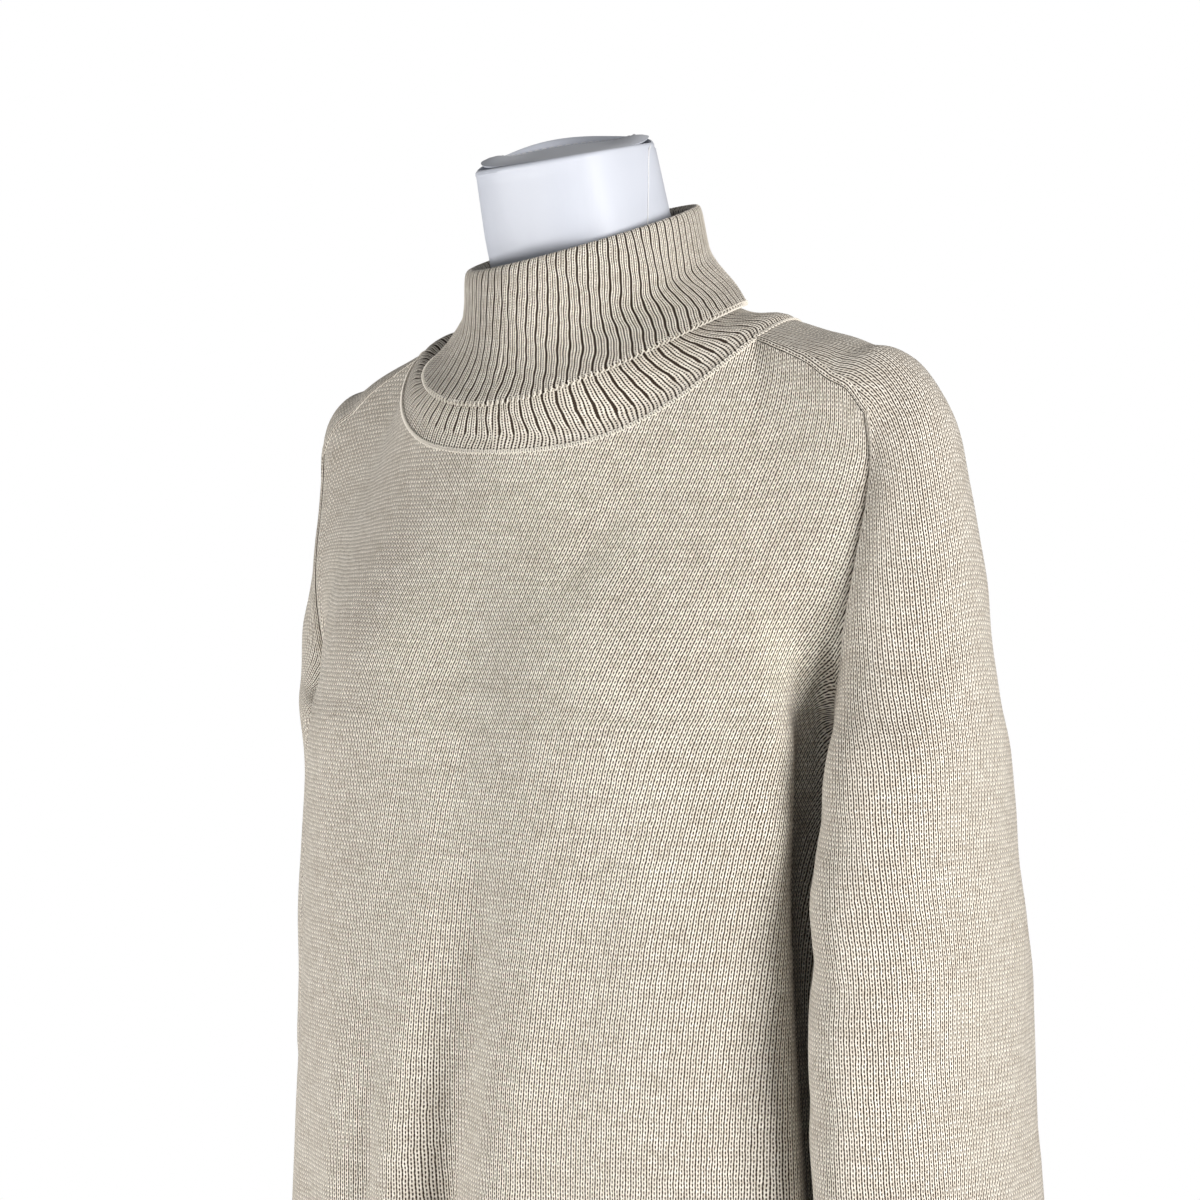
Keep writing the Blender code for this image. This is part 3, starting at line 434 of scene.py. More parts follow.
# ---- outlines of the cut pieces ----
def neckline(turn):
    x, y = oval_ring(turn, NECK_HALF_WIDTH, NECK_FRONT_REACH, NECK_BACK_REACH, 0.0)
    z = ring_height(turn, NECK_FRONT_Z, NECK_BACK_Z, NECK_SIDE_CROWN, NECK_CROWN_POWER)
    return np.stack([x, y, z], axis=-1)


def body_half(z, side):
    heights = [row.z for row in BODY_ROWS]
    half_width, front, back, square = smooth_through(heights, [row[1:] for row in BODY_ROWS], z)
    angle = np.linspace(0.0, np.pi, 361)
    depth = front if side < 0 else back
    x = side * half_width * signed_power(np.cos(angle), 2.0 / square)
    y = side * depth * np.sin(angle) ** (2.0 / square)
    return np.stack([x, y, np.full_like(x, z)], axis=1)


def underarm(side):
    return np.array([side * BODY_ROWS[-1].half_width, 0.0, UNDERARM_Z])


def mirrored(point, side):
    return np.array([side * point[0], point[1], point[2]])


def head_sections(side):
    hang = HANGS[side]
    low = SLEEVE_TUBE[-1]
    outward = np.array([side * low.half_width * hang.fullness, hang.swing * low.sway, 0.0])
    forward = np.array([0.0, -low.half_depth, 0.0])
    rows = [(0.0, underarm(side) + outward, forward, outward, UNDERARM_WRAP)]
    front_turn = np.radians(STRAP_FRONT_TURN)
    back_turn = np.radians(STRAP_BACK_TURN)
    middle_turn = 0.5 * (front_turn + back_turn)
    neck_row = HeadRow(
        2.0, neckline(front_turn), neckline(middle_turn), neckline(back_turn), NECK_WRAP, 0.0
    )
    for row in SLEEVE_HEAD + (neck_row,):
        front = mirrored(row.front, side)
        ridge = mirrored(row.ridge, side)
        back = mirrored(row.back, side)
        ridge[0] -= side * hang.pull_in * row.sway
        ridge[1] += hang.swing * row.sway
        middle = 0.5 * (front + back)
        wrap = np.radians(row.wrap)
        outward = (ridge - middle) / (1.0 + np.sin(wrap))
        forward = 0.5 * (front - back) / np.cos(wrap)
        rows.append((row.stage, ridge - outward, forward, outward, row.wrap))
    return rows


def sleeve_arc(centre, forward, outward, wrap, shares):
    start = -np.radians(wrap)
    angle = start + shares * (np.pi - 2.0 * start)
    return centre + np.outer(np.cos(angle), forward) + np.outer(np.sin(angle), outward)


def sleeve_grid(side):
    """Rows from the cuff to the neckline; columns from the front seam to the back seam."""
    shares = np.linspace(0.0, 1.0, SLEEVE_COLUMNS + 1)
    hang = HANGS[side]
    heights = [row.z for row in SLEEVE_TUBE]
    rows = []
    for z in np.linspace(SLEEVE_TUBE[0].z, UNDERARM_Z, SLEEVE_TUBE_ROWS + 1)[:-1]:
        out, half_depth, half_width, sway = smooth_through(heights, [row[1:] for row in SLEEVE_TUBE], z)
        slim_width = half_width * hang.fullness
        centre = np.array([side * (out - half_width + slim_width), hang.swing * sway, z])
        forward = np.array([0.0, -half_depth, 0.0])
        outward = np.array([side * slim_width, 0.0, 0.0])
        rows.append(sleeve_arc(centre, forward, outward, UNDERARM_WRAP, shares))
    sections = head_sections(side)
    stages = [section[0] for section in sections]
    values = [np.concatenate([section[1], section[2], section[3], [section[4]]]) for section in sections]
    arm_stages = np.linspace(0.0, 1.0, ARMHOLE_ROWS + 1)
    strap_stages = np.linspace(1.0, 2.0, STRAP_ROWS + 1)[1:]
    for stage in np.concatenate([arm_stages, strap_stages]):
        value = smooth_through(stages, values, stage)
        rows.append(sleeve_arc(value[0:3], value[3:6], value[6:9], value[9], shares))
    grid = np.array(rows)
    grid[:SLEEVE_TUBE_ROWS + 1, -1] = grid[:SLEEVE_TUBE_ROWS + 1, 0]
    return grid


def panel_grid(side, sleeves):
    """Front (side -1) or back (+1): rows from the hem up, columns in the direction of turn."""
    marks = FRONT_COLUMNS if side < 0 else BACK_COLUMNS
    columns = 2 * STRAP_ROWS + NECKLINE_COLUMNS
    shares = np.interp(np.arange(columns + 1), [mark[0] for mark in marks], [mark[1] for mark in marks])
    heights = np.linspace(HEM_Z, UNDERARM_Z, PANEL_SKIRT_ROWS + 1)
    skirt = [along(body_half(z, side), shares) for z in heights]
    edge = 0 if side < 0 else -1
    first = sleeves["right" if side < 0 else "left"][SLEEVE_TUBE_ROWS:, edge]
    last = sleeves["left" if side < 0 else "right"][SLEEVE_TUBE_ROWS:, edge]
    if side < 0:
        turns = np.radians(np.linspace(-STRAP_FRONT_TURN, STRAP_FRONT_TURN, NECKLINE_COLUMNS + 1))
    else:
        turns = np.radians(np.linspace(STRAP_BACK_TURN, 360.0 - STRAP_BACK_TURN, NECKLINE_COLUMNS + 1))
    top = np.concatenate([first[ARMHOLE_ROWS:-1], neckline(turns), last[ARMHOLE_ROWS:-1][::-1]])
    yoke = coons(skirt[-1], top, first[:ARMHOLE_ROWS + 1], last[:ARMHOLE_ROWS + 1], shares)
    return np.concatenate([np.array(skirt[:-1]), yoke]), shares


def coons(bottom, top, left, right, shares):
    """Surface between four edges; the side edges bend only the panel's outer parts."""
    rows = len(left)
    near_left = smooth_step(1.0 - shares / EDGE_REACH)[:, None]
    near_right = smooth_step(1.0 - (1.0 - shares) / EDGE_REACH)[:, None]
    grid = np.empty((rows, len(bottom), 3))
    for row in range(rows):
        v = row / (rows - 1)
        ruled = (1 - v) * bottom + v * top
        grid[row] = ruled + near_left * (left[row] - ruled[0]) + near_right * (right[row] - ruled[-1])
    for _ in range(RELAX_ROUNDS):
        upright = grid[:-2, 1:-1] + grid[2:, 1:-1]
        level = grid[1:-1, :-2] + grid[1:-1, 2:]
        grid[1:-1, 1:-1] = 0.5 * grid[1:-1, 1:-1] + 0.125 * (upright + level)
    return grid


# ---- shared normals, folds and creases ----
def shared_normals(grids):
    """Outward normals at each grid point, the same for all pieces that meet there."""
    points = np.round(np.concatenate([grid.reshape(-1, 3) for grid in grids]), 6)
    marks = [np.round(underarm(side), 6) for side in (-1, 1)]
    _, place = np.unique(points, axis=0, return_inverse=True)
    place = place.reshape(-1)
    sums = np.zeros((place.max() + 1, 3))
    offset = 0
    for grid in grids:
        rows, columns = grid.shape[:2]
        index = place[offset:offset + rows * columns].reshape(rows, columns)
        across = grid[:-1, 1:] - grid[1:, :-1]
        up = grid[1:, 1:] - grid[:-1, :-1]
        faces = np.cross(across, up)
        corners = (index[:-1, :-1], index[:-1, 1:], index[1:, :-1], index[1:, 1:])
        for corner in corners:
            np.add.at(sums, corner.reshape(-1), faces.reshape(-1, 3))
        offset += rows * columns
    for mark in marks:
        at = np.argmin(np.linalg.norm(points - mark, axis=1))
        sums[place[at]] = (0.0, 0.0, -1.0)
    normals = unit(sums)[place]
    result = []
    offset = 0
    for grid in grids:
        count = grid.shape[0] * grid.shape[1]
        result.append(normals[offset:offset + count].reshape(grid.shape))
        offset += count
    return result


def wrapped(difference):
    return (difference + 0.5) % 1.0 - 0.5


def fold_push(turn, z):
    push = np.zeros(np.broadcast(turn, z).shape)
    for fold in FOLDS:
        down = np.clip((fold.z_top - z) / (fold.z_top - HEM_Z), 0.0, 1.0)
        away = wrapped(turn - fold.turn - fold.drift * down)
        grown = smooth_step((fold.z_top - z) / fold.z_reach)
        push += fold.depth * grown * np.exp(-((away / fold.width) ** 2))
    for form in FORMS:
        away = wrapped(turn - form.turn)
        rise = (z - form.z) / form.z_spread
        push += form.push * np.exp(-((away / form.turn_spread) ** 2) - rise ** 2)
    return push


def crease_push(creases, turn, z, girth):
    """Soft troughs and ridges along short lines; girth turns a share of turn into metres."""
    push = np.zeros(np.broadcast(turn, z).shape)
    for crease in creases:
        run = np.array([wrapped(crease.turn_end - crease.turn) * girth, crease.z_end - crease.z])
        size = np.linalg.norm(run)
        run /= size
        x = wrapped(turn - crease.turn) * girth
        y = z - crease.z
        ahead = x * run[0] + y * run[1]
        aside = x * run[1] - y * run[0]
        reach = CREASE_FADE * size
        fade = smooth_step(ahead / reach + 0.35) * smooth_step((size - ahead) / reach + 0.35)
        push += crease.depth * fade * np.exp(-((aside / crease.width) ** 2))
    return push


def ripple(points, seed):
    """A slow, uneven wave of the surface, worked out from a few crossed sines."""
    random = np.random.default_rng(seed)
    push = np.zeros(points.shape[:-1])
    for _ in range(RIPPLE_WAVES):
        wave = random.normal(0.0, 1.0, 3) * random.uniform(*RIPPLE_RATES)
        push += np.sin(points @ wave + random.uniform(0.0, 2.0 * np.pi)) * random.uniform(0.2, 1.0)
    return RIPPLE * push / RIPPLE_SPREAD


def fold_panel(grid, normals, shares, first_turn, seed):
    rows = grid.shape[0]
    v = (np.arange(rows) - PANEL_SKIRT_ROWS * FINER) / (ARMHOLE_ROWS * FINER)
    side = smooth_step(np.minimum(shares, 1.0 - shares) / STILL_SIDE)[None, :]
    top = smooth_step((1.0 - v) / STILL_TOP)[:, None]
    hold = np.where(v[:, None] >= 0.0, side * top, 1.0)
    turn = first_turn + 0.5 * shares[None, :]
    z = grid[..., 2]
    push = fold_push(turn, z) * hold
    near_seam = np.where(v[:, None] >= 0.0, side, 1.0) * smooth_step((1.0 - v) / STILL_SEAM)[:, None]
    push += (crease_push(BODY_CREASES, turn, z, 1.0) + ripple(grid, seed)) * near_seam
    push -= SEAM_DIP * (1.0 - smooth_step(seam_distance(grid) / PANEL_SEAM_REACH))
    return grid + normals * push[..., None]


def fold_sleeve(grid, normals, seed):
    shares = np.linspace(0.0, 1.0, grid.shape[1])[None, :]
    rows = np.arange(grid.shape[0])
    armhole_row = SLEEVE_TUBE_ROWS * FINER
    z = grid[..., 2]
    seam = smooth_step(np.minimum(shares, 1.0 - shares) / STILL_SEAM)
    top = smooth_step((grid.shape[0] - 1 - rows) / (2.0 * FINER))[:, None]
    hold = np.where(rows[:, None] >= armhole_row - 2, seam * top, 1.0)
    push = (crease_push(SLEEVE_CREASES, shares, z, SLEEVE_GIRTH) + ripple(grid, seed)) * hold
    distance = seam_distance(grid)
    band = 1.0 - smooth_step((distance / (SEAM_WALES * WALE) - 0.8) / 0.5)
    push += SEAM_RISE * band - (SEAM_DIP + SEAM_RISE) * (1.0 - smooth_step(distance / SLEEVE_SEAM_REACH))
    folded = grid + normals * push[..., None]
    folded[:armhole_row + 1, -1] = folded[:armhole_row + 1, 0]
    return folded


# ---- knit coordinates ----
def level_and_upward(normals):
    level = unit(np.cross((0.0, 0.0, 1.0), normals))
    return level, unit(np.cross(normals, level))


def panel_knit(grid, normals, skew):
    """Wale and course coordinates in metres: wales run up the slope of the cloth."""
    level, upward = level_and_upward(normals)
    across = np.diff(grid, axis=1)
    steps = np.sum(across * unit(level[:, 1:] + level[:, :-1]), axis=-1)
    knit = np.zeros(grid.shape[:2] + (2,))
    knit[:, 1:, 0] = np.cumsum(steps, axis=1)
    middle = grid.shape[1] // 2
    knit[..., 0] -= knit[:, middle:middle + 1, 0]
    rise = np.diff(grid, axis=0)
    knit[1:, :, 1] = np.cumsum(np.sum(rise * unit(upward[1:] + upward[:-1]), axis=-1), axis=0)
    above = np.maximum(grid[..., 2] - SKEW_Z, 0.0)
    knit[..., 0] -= skew * np.where(
        above < SKEW_REACH, 0.5 * above ** 2 / SKEW_REACH, above - 0.5 * SKEW_REACH
    )
    return knit


def sleeve_knit(grid):
    rows, columns = grid.shape[:2]
    knit = np.zeros((rows, columns, 2))
    for row in range(rows):
        length = lengths(grid[row])
        knit[row, :, 0] = length - length[columns // 2]
    knit[1:, :, 1] = np.cumsum(np.linalg.norm(np.diff(grid, axis=0), axis=-1), axis=0)
    return knit


def seam_distance(grid):
    """Distance along each row from the nearer side edge, in metres."""
    steps = np.linalg.norm(np.diff(grid, axis=1), axis=-1)
    length = np.concatenate([np.zeros((grid.shape[0], 1)), np.cumsum(steps, axis=1)], axis=1)
    return np.minimum(length, length[:, -1:] - length)


# ---- meshes ----
def let_down(points):
    """The points as they are with the right shoulder carried lower."""
    placed = np.array(points, float)
    across = smooth_step((-placed[:, 0] - DROP_START_X) / DROP_REACH_X)
    upward = smooth_step((placed[:, 2] - DROP_START_Z) / DROP_REACH_Z)
    placed[:, 2] -= SHOULDER_DROP * across * upward
    return placed


def link_object(name, data):
    thing = bpy.data.objects.new(name, data)
    bpy.context.scene.collection.objects.link(thing)
    return thing


def add_mesh(name, points, faces, material, layers=None):
    """A piece of the object. layers holds named marks, one pair for each face corner."""
    mesh = bpy.data.meshes.new(name)
    mesh.from_pydata(let_down(points).tolist(), [], faces)
    for title, marks in (layers or {}).items():
        layer = mesh.uv_layers.new(name=title)
        layer.data.foreach_set("uv", np.asarray(marks, float).reshape(-1))
    mesh.update()
    mesh.shade_smooth()
    mesh.set_sharp_from_angle(angle=np.radians(SHARP_ANGLE))
    mesh.materials.append(material)
    thing = link_object(name, mesh)
    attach(thing, BODY)
    return thing


def pulled_back(grid, normals, closed_rows):
    """Draw the open edges in from their seam lines; return outer and inner points."""
    ways = np.zeros((4,) + grid.shape)
    ways[0, 0] = grid[1] - grid[0]
    ways[1, -1] = grid[-2] - grid[-1]
    ways[2, closed_rows:, 0] = grid[closed_rows:, 1] - grid[closed_rows:, 0]
    ways[2, closed_rows:, -1] = grid[closed_rows:, -2] - grid[closed_rows:, -1]
    crotch = normals[..., 2] < CROTCH_NORMAL
    ways[3] = np.where(crotch[..., None], grid.mean(axis=1, keepdims=True) - grid, 0.0)
    shift = across_normal(ways, normals).sum(axis=0)
    return grid + HALF_GAP * shift, grid - WALL * normals + HALF_GAP * shift


def across_normal(ways, normals):
    flat = ways - np.sum(ways * normals, axis=-1, keepdims=True) * normals
    return unit(flat) * (np.linalg.norm(flat, axis=-1, keepdims=True) > 1e-9)


def around_cells(grid):
    """What a grid holds at the four corners of each of its cells, on a new last axis."""
    return np.stack([grid[:-1, :-1], grid[:-1, 1:], grid[1:, 1:], grid[1:, :-1]], axis=-1)


def add_wall(name, grid, normals, layers, material, closed_rows=0):
    """A knit wall with its inside and rims, as one closed solid."""
    outer, inner = pulled_back(grid, normals, closed_rows)
    rows, columns = grid.shape[:2]
    own = np.ones((rows, columns), bool)
    own[:closed_rows, -1] = False
    index = np.empty((rows, columns), int)
    index[own] = np.arange(own.sum())
    index[:closed_rows, -1] = index[:closed_rows, 0]
    count = int(own.sum())
    points = np.concatenate([outer[own], inner[own]])
    corners = around_cells(index).reshape(-1, 4)
    edges = {}
    for face in corners.tolist():
        for k in range(4):
            edges[(face[k], face[(k + 1) % 4])] = True
    rims = [(b, a, a + count, b + count) for a, b in edges if (b, a) not in edges]
    faces = corners.tolist() + (corners[:, ::-1] + count).tolist() + rims
    placed = {}
    for title, marks in layers.items():
        around = np.moveaxis(around_cells(marks), -1, 2).reshape(-1, 4, 2)
        at_points = np.concatenate([marks[own], marks[own]])
        parts = (around, around[:, ::-1], at_points[np.array(rims)])
        placed[title] = np.concatenate([part.reshape(-1, 2) for part in parts])
    return add_mesh(name, points, faces, material, placed)


def ring_faces(rows, size, closed=False):
    """Quads between neighbouring rings of points, also from the last to the first if closed."""
    faces = []
    for row in range(rows if closed else rows - 1):
        above = (row + 1) % rows
        for k in range(size):
            n = (k + 1) % size
            faces.append((row * size + k, row * size + n, above * size + n, above * size + k))
    return faces


def add_tube(name, path, sideways, radius, material, closed=True):
    """A round thread along a path; sideways is any direction across it at each point."""
    if closed:
        run = unit(np.roll(path, -1, axis=0) - np.roll(path, 1, axis=0))
    else:
        run = unit(np.gradient(path, axis=0))
    across = unit(sideways - np.sum(sideways * run, axis=1, keepdims=True) * run)
    upright = np.cross(run, across)
    turn = np.arange(THREAD_SIDES) / THREAD_SIDES * 2.0 * np.pi
    ring = np.cos(turn)[None, :, None] * across[:, None] + np.sin(turn)[None, :, None] * upright[:, None]
    points = (path[:, None] + radius * ring).reshape(-1, 3)
    faces = ring_faces(len(path), THREAD_SIDES, closed)
    if not closed:
        faces.append(tuple(range(THREAD_SIDES))[::-1])
        faces.append(tuple(range(len(points) - THREAD_SIDES, len(points))))
    return add_mesh(name, points, faces, material)


# ---- node helpers ----
class Graph:
    """Adds nodes to a material; every value may be a number or another node's output."""

    def __init__(self, name):
        self.material = bpy.data.materials.new(name)
        self.material.use_nodes = True
        self.tree = self.material.node_tree
        self.shader = self.tree.nodes["Principled BSDF"]

    def feed(self, socket, value):
        if isinstance(value, bpy.types.NodeSocket):
            self.tree.links.new(value, socket)
        else:
            socket.default_value = value

    def set(self, title, value):
        """Give one of the surface shader's own sockets a value."""
        self.feed(self.shader.inputs[title], value)

    def math(self, operation, *values):
        node = self.tree.nodes.new("ShaderNodeMath")
        node.operation = operation
        for socket, value in zip(node.inputs, values):
            self.feed(socket, value)
        return node.outputs[0]

    def ramp(self, value, low, high):
        """0 at low, 1 at high, smooth between."""
        node = self.tree.nodes.new("ShaderNodeMapRange")
        node.interpolation_type = "SMOOTHSTEP"
        self.feed(node.inputs["Value"], value)
        node.inputs["From Min"].default_value = low
        node.inputs["From Max"].default_value = high
        return node.outputs["Result"]

    def mix(self, share, first, second):
        node = self.tree.nodes.new("ShaderNodeMix")
        node.data_type = "RGBA"
        self.feed(node.inputs["Factor"], share)
        for socket, value in ((node.inputs[6], first), (node.inputs[7], second)):
            self.feed(socket, (*value, 1.0) if isinstance(value, tuple) else value)
        return node.outputs[2]

    def place(self, x, y, z=0.0):
        node = self.tree.nodes.new("ShaderNodeCombineXYZ")
        for socket, value in zip(node.inputs, (x, y, z)):
            self.feed(socket, value)
        return node.outputs[0]

    def noise(self, vector, scale, detail=2.0, roughness=0.5):
        node = self.tree.nodes.new("ShaderNodeTexNoise")
        self.feed(node.inputs["Vector"], vector)
        node.inputs["Scale"].default_value = scale
        node.inputs["Detail"].default_value = detail
        node.inputs["Roughness"].default_value = roughness
        return node.outputs["Fac"]

    def stretched(self, vector, scales):
        node = self.tree.nodes.new("ShaderNodeVectorMath")
        node.operation = "MULTIPLY"
        self.feed(node.inputs[0], vector)
        node.inputs[1].default_value = scales
        return node.outputs[0]

    def random(self, vector):
        node = self.tree.nodes.new("ShaderNodeTexWhiteNoise")
        self.feed(node.inputs["Vector"], vector)
        return node.outputs["Value"]

    def marks(self, layer):
        """The two marks laid on the piece's face corners."""
        node = self.tree.nodes.new("ShaderNodeUVMap")
        node.uv_map = layer
        split = self.tree.nodes.new("ShaderNodeSeparateXYZ")
        self.feed(split.inputs[0], node.outputs[0])
        return split.outputs[0], split.outputs[1]

    def solid(self):
        node = self.tree.nodes.new("ShaderNodeTexCoord")
        return node.outputs["Object"]

    def bump(self, height, distance, strength=1.0):
        node = self.tree.nodes.new("ShaderNodeBump")
        self.feed(node.inputs["Height"], height)
        node.inputs["Distance"].default_value = distance
        node.inputs["Strength"].default_value = strength
        self.set("Normal", node.outputs[0])


# ---- materials ----
YARN_LIGHT = (0.960, 0.905, 0.815)
YARN_DARK = (0.600, 0.535, 0.450)
# painted shade: the near-black colour given to the gaps between stitches and to the rib furrows, where
# shade falls
PAINTED_GAP_SHADE = (0.040, 0.026, 0.018)
WALE_DRIFT = 0.45           # unevenness of the knit, in stitches across,
RIB_DRIFT = 0.12            # in the ribs,
COURSE_DRIFT = 0.60         # and up
COVER_DARK = (0.53, 0.56, 0.645)
COVER_LIGHT = (0.61, 0.635, 0.70)
COVER_THREAD = (0.80, 0.81, 0.84)
STEEL_DARK = (0.52, 0.52, 0.53)
STEEL_LIGHT = (0.66, 0.66, 0.67)
FLOOR_DARK = (0.78, 0.78, 0.77)
FLOOR_LIGHT = (0.82, 0.82, 0.81)
RIB_EDGE = 0.055             # share of a rib that its furrow takes on each side
PAINTED_FURROW_LIGHTNESS = 0.62          # how light the painted shade in the rib furrows leaves them


def stitches(graph, wale, course):
    """Height of a field of V stitches, whose low parts also take the painted shade of the gaps; wale and
    course count stitches across and up.
    """
    share = graph.math("FRACT", wale)
    aside = graph.math("MULTIPLY", graph.math("ABSOLUTE", graph.math("SUBTRACT", share, 0.5)), 2.0)
    lean = graph.math("SUBTRACT", course, graph.math("MULTIPLY", aside, 0.5))
    phase = graph.math("FRACT", lean)
    away = graph.math("ABSOLUTE", graph.math("MULTIPLY_ADD", phase, 2.0, -1.0))
    ends = graph.ramp(graph.math("ABSOLUTE", graph.math("MULTIPLY_ADD", aside, 2.0, -1.0)), 0.25, 0.90)
    deep = graph.math("MULTIPLY_ADD", ends, 0.90, 0.12)
    hole = graph.math("MULTIPLY", graph.ramp(away, 0.10, 0.80), deep)
    gap = graph.math("MULTIPLY", graph.ramp(aside, 0.62, 1.0), 0.90)
    slit = graph.math("MULTIPLY", graph.ramp(aside, 0.32, 0.0), 0.35)
    # The sunk parts of a stitch: they get the painted shade of the gaps as well as a lower bump.
    dark = graph.math("ADD", hole, graph.math("ADD", gap, slit))
    return graph.math("SUBTRACT", 1.0, graph.math("MINIMUM", dark, 1.0)), phase


def heather(graph, wale, course, phase):
    """Share of dark fibre: streaks along the courses, and some change from leg to leg."""
    run = graph.noise(graph.place(graph.math("MULTIPLY", wale, 0.20), course), 1.0, 3.0, 0.6)
    far = graph.place(graph.math("MULTIPLY", wale, 0.045), graph.math("MULTIPLY", course, 0.16))
    broad = graph.noise(far, 1.0)
    cell = graph.place(
        graph.math("FLOOR", graph.math("MULTIPLY", wale, 2.0)),
        graph.math("FLOOR", graph.math("SUBTRACT", course, phase)),
    )
    speck = graph.random(cell)
    tone = graph.math("MULTIPLY_ADD", run, 0.75, graph.math("MULTIPLY", speck, 0.30))
    return graph.math("MULTIPLY_ADD", broad, 0.30, tone)


def wale_count(graph, kind, u):
    """Number of the wale at a point, and a factor that is low in the rib furrows: it paints shade into
    them and lowers their bump.
    """
    if kind == "panel":
        return graph.math("DIVIDE", u, WALE), 1.0
    if kind == "sleeve":
        edge, _ = graph.marks("seam")
        near = graph.math("LESS_THAN", edge, SEAM_WALES * WALE)
        chosen = graph.math("MULTIPLY_ADD", near, graph.math("SUBTRACT", edge, u), u)
        return graph.math("DIVIDE", chosen, WALE), 1.0
    # u counts ribs, furrows at whole numbers; each rib shows two wales. Where the
    # furrows are closed, the wales take up the whole width.
    share = graph.math("FRACT", u)
    furrow, _ = graph.marks("seam")
    edge = graph.math("MULTIPLY", graph.math("MINIMUM", furrow, 1.0), RIB_EDGE)
    clear = graph.math("MULTIPLY_ADD", edge, -2.0, 1.0)
    wide = graph.math("MULTIPLY", graph.math("DIVIDE", graph.math("SUBTRACT", share, edge), clear), 2.0)
    inside = graph.math("MINIMUM", graph.math("MAXIMUM", wide, 0.0), 1.999)
    wale = graph.math("MULTIPLY_ADD", graph.math("FLOOR", u), 2.0, inside)
    from_furrow = graph.math("SUBTRACT", 0.5, graph.math("ABSOLUTE", graph.math("SUBTRACT", share, 0.5)))
    uneven = graph.math("MULTIPLY_ADD", graph.noise(graph.solid(), 55.0, 2.0), 1.0, 0.55)
    open_width = graph.math("MAXIMUM", graph.math("MULTIPLY", furrow, uneven), 0.01)
    # closed is 0 in an open furrow and 1 beside it; the furrows get painted shade from it, and a lower
    # bump.
    closed = graph.ramp(graph.math("DIVIDE", from_furrow, open_width), 0.0, RIB_EDGE)
    return wale, graph.math("MULTIPLY_ADD", closed, 1.0 - PAINTED_FURROW_LIGHTNESS, PAINTED_FURROW_LIGHTNESS)


def knit_material(name, kind):
    graph = Graph(name)
    u, v = graph.marks("knit")
    wale, furrow_shade_and_bump = wale_count(graph, kind, u)
    drift = graph.math("SUBTRACT", graph.noise(graph.solid(), 120.0, 2.0), 0.5)
    wale = graph.math("MULTIPLY_ADD", drift, RIB_DRIFT if kind == "rib" else WALE_DRIFT, wale)
    rows = graph.math("DIVIDE", v, RIB_COURSE if kind == "rib" else COURSE)
    course = graph.math("MULTIPLY_ADD", drift, COURSE_DRIFT, rows)
    height, phase = stitches(graph, wale, course)
    # The furrow factor darkens the rib furrows' colour (painted shade) and lowers their bump.
    height = graph.math("MULTIPLY", height, furrow_shade_and_bump)
    fibre = graph.noise(graph.solid(), 900.0, 2.0, 0.7)
    tone = heather(graph, wale, course, phase)
    tone = graph.ramp(graph.math("MULTIPLY_ADD", fibre, 0.25, tone), 0.40, 1.25)
    yarn = graph.mix(tone, YARN_LIGHT, YARN_DARK)
    # Painted shade: the sunk parts of the stitches and the rib furrows are coloured towards near-black.
    colour = graph.mix(graph.ramp(height, 0.12, 0.86), PAINTED_GAP_SHADE, yarn)
    graph.set("Base Color", colour)
    graph.set("Roughness", 0.92)
    graph.set("Specular IOR Level", 0.22)
    graph.set("Sheen Weight", 0.18)
    graph.set("Sheen Roughness", 0.45)
    graph.set("Sheen Tint", (1.0, 0.96, 0.90, 1.0))
    graph.bump(graph.math("MULTIPLY_ADD", fibre, 0.18, height), 0.0008, 0.80)
    return graph.material


def thread_material(name, colour):
    graph = Graph(name)
    fibre = graph.noise(graph.solid(), 1400.0, 2.0, 0.6)
    graph.set("Base Color", graph.mix(fibre, tuple(c * 0.72 for c in colour), colour))
    graph.set("Roughness", 0.9)
    graph.set("Specular IOR Level", 0.2)
    graph.bump(fibre, 0.0002, 0.6)
    return graph.material


def cover_material():
    graph = Graph("white_cover_cloth")
    place = graph.solid()
    cloud = graph.noise(place, 14.0, 3.0)
    weave = graph.noise(place, 1900.0, 1.0)
    graph.set("Base Color", graph.mix(cloud, COVER_DARK, COVER_LIGHT))
    graph.set("Roughness", graph.math("MULTIPLY_ADD", cloud, 0.12, 0.42))
    graph.set("Specular IOR Level", 0.35)
    graph.set("Sheen Weight", 0.10)
    pulls = graph.noise(graph.stretched(place, (150.0, 150.0, 26.0)), 1.0, 2.0)
    graph.bump(graph.math("MULTIPLY_ADD", pulls, 1.0, graph.math("MULTIPLY", weave, 0.10)), 0.0006, 0.30)
    return graph.material


def steel_material():
    graph = Graph("brushed_steel_looks")
    split = graph.tree.nodes.new("ShaderNodeSeparateXYZ")
    graph.feed(split.inputs[0], graph.solid())
    x, y, z = split.outputs
    squared = graph.math("ADD", graph.math("MULTIPLY", x, x), graph.math("MULTIPLY", y, y))
    rings = graph.math("MULTIPLY", graph.math("SQRT", squared), 900.0)
    brush = graph.noise(graph.place(rings, graph.math("MULTIPLY", z, 500.0)), 1.0, 4.0)
    graph.set("Base Color", graph.mix(brush, STEEL_DARK, STEEL_LIGHT))
    graph.set("Roughness", graph.math("MULTIPLY_ADD", brush, 0.18, 0.24))
    graph.set("Metallic", 1.0)
    graph.bump(brush, 0.00005, 0.3)
    return graph.material


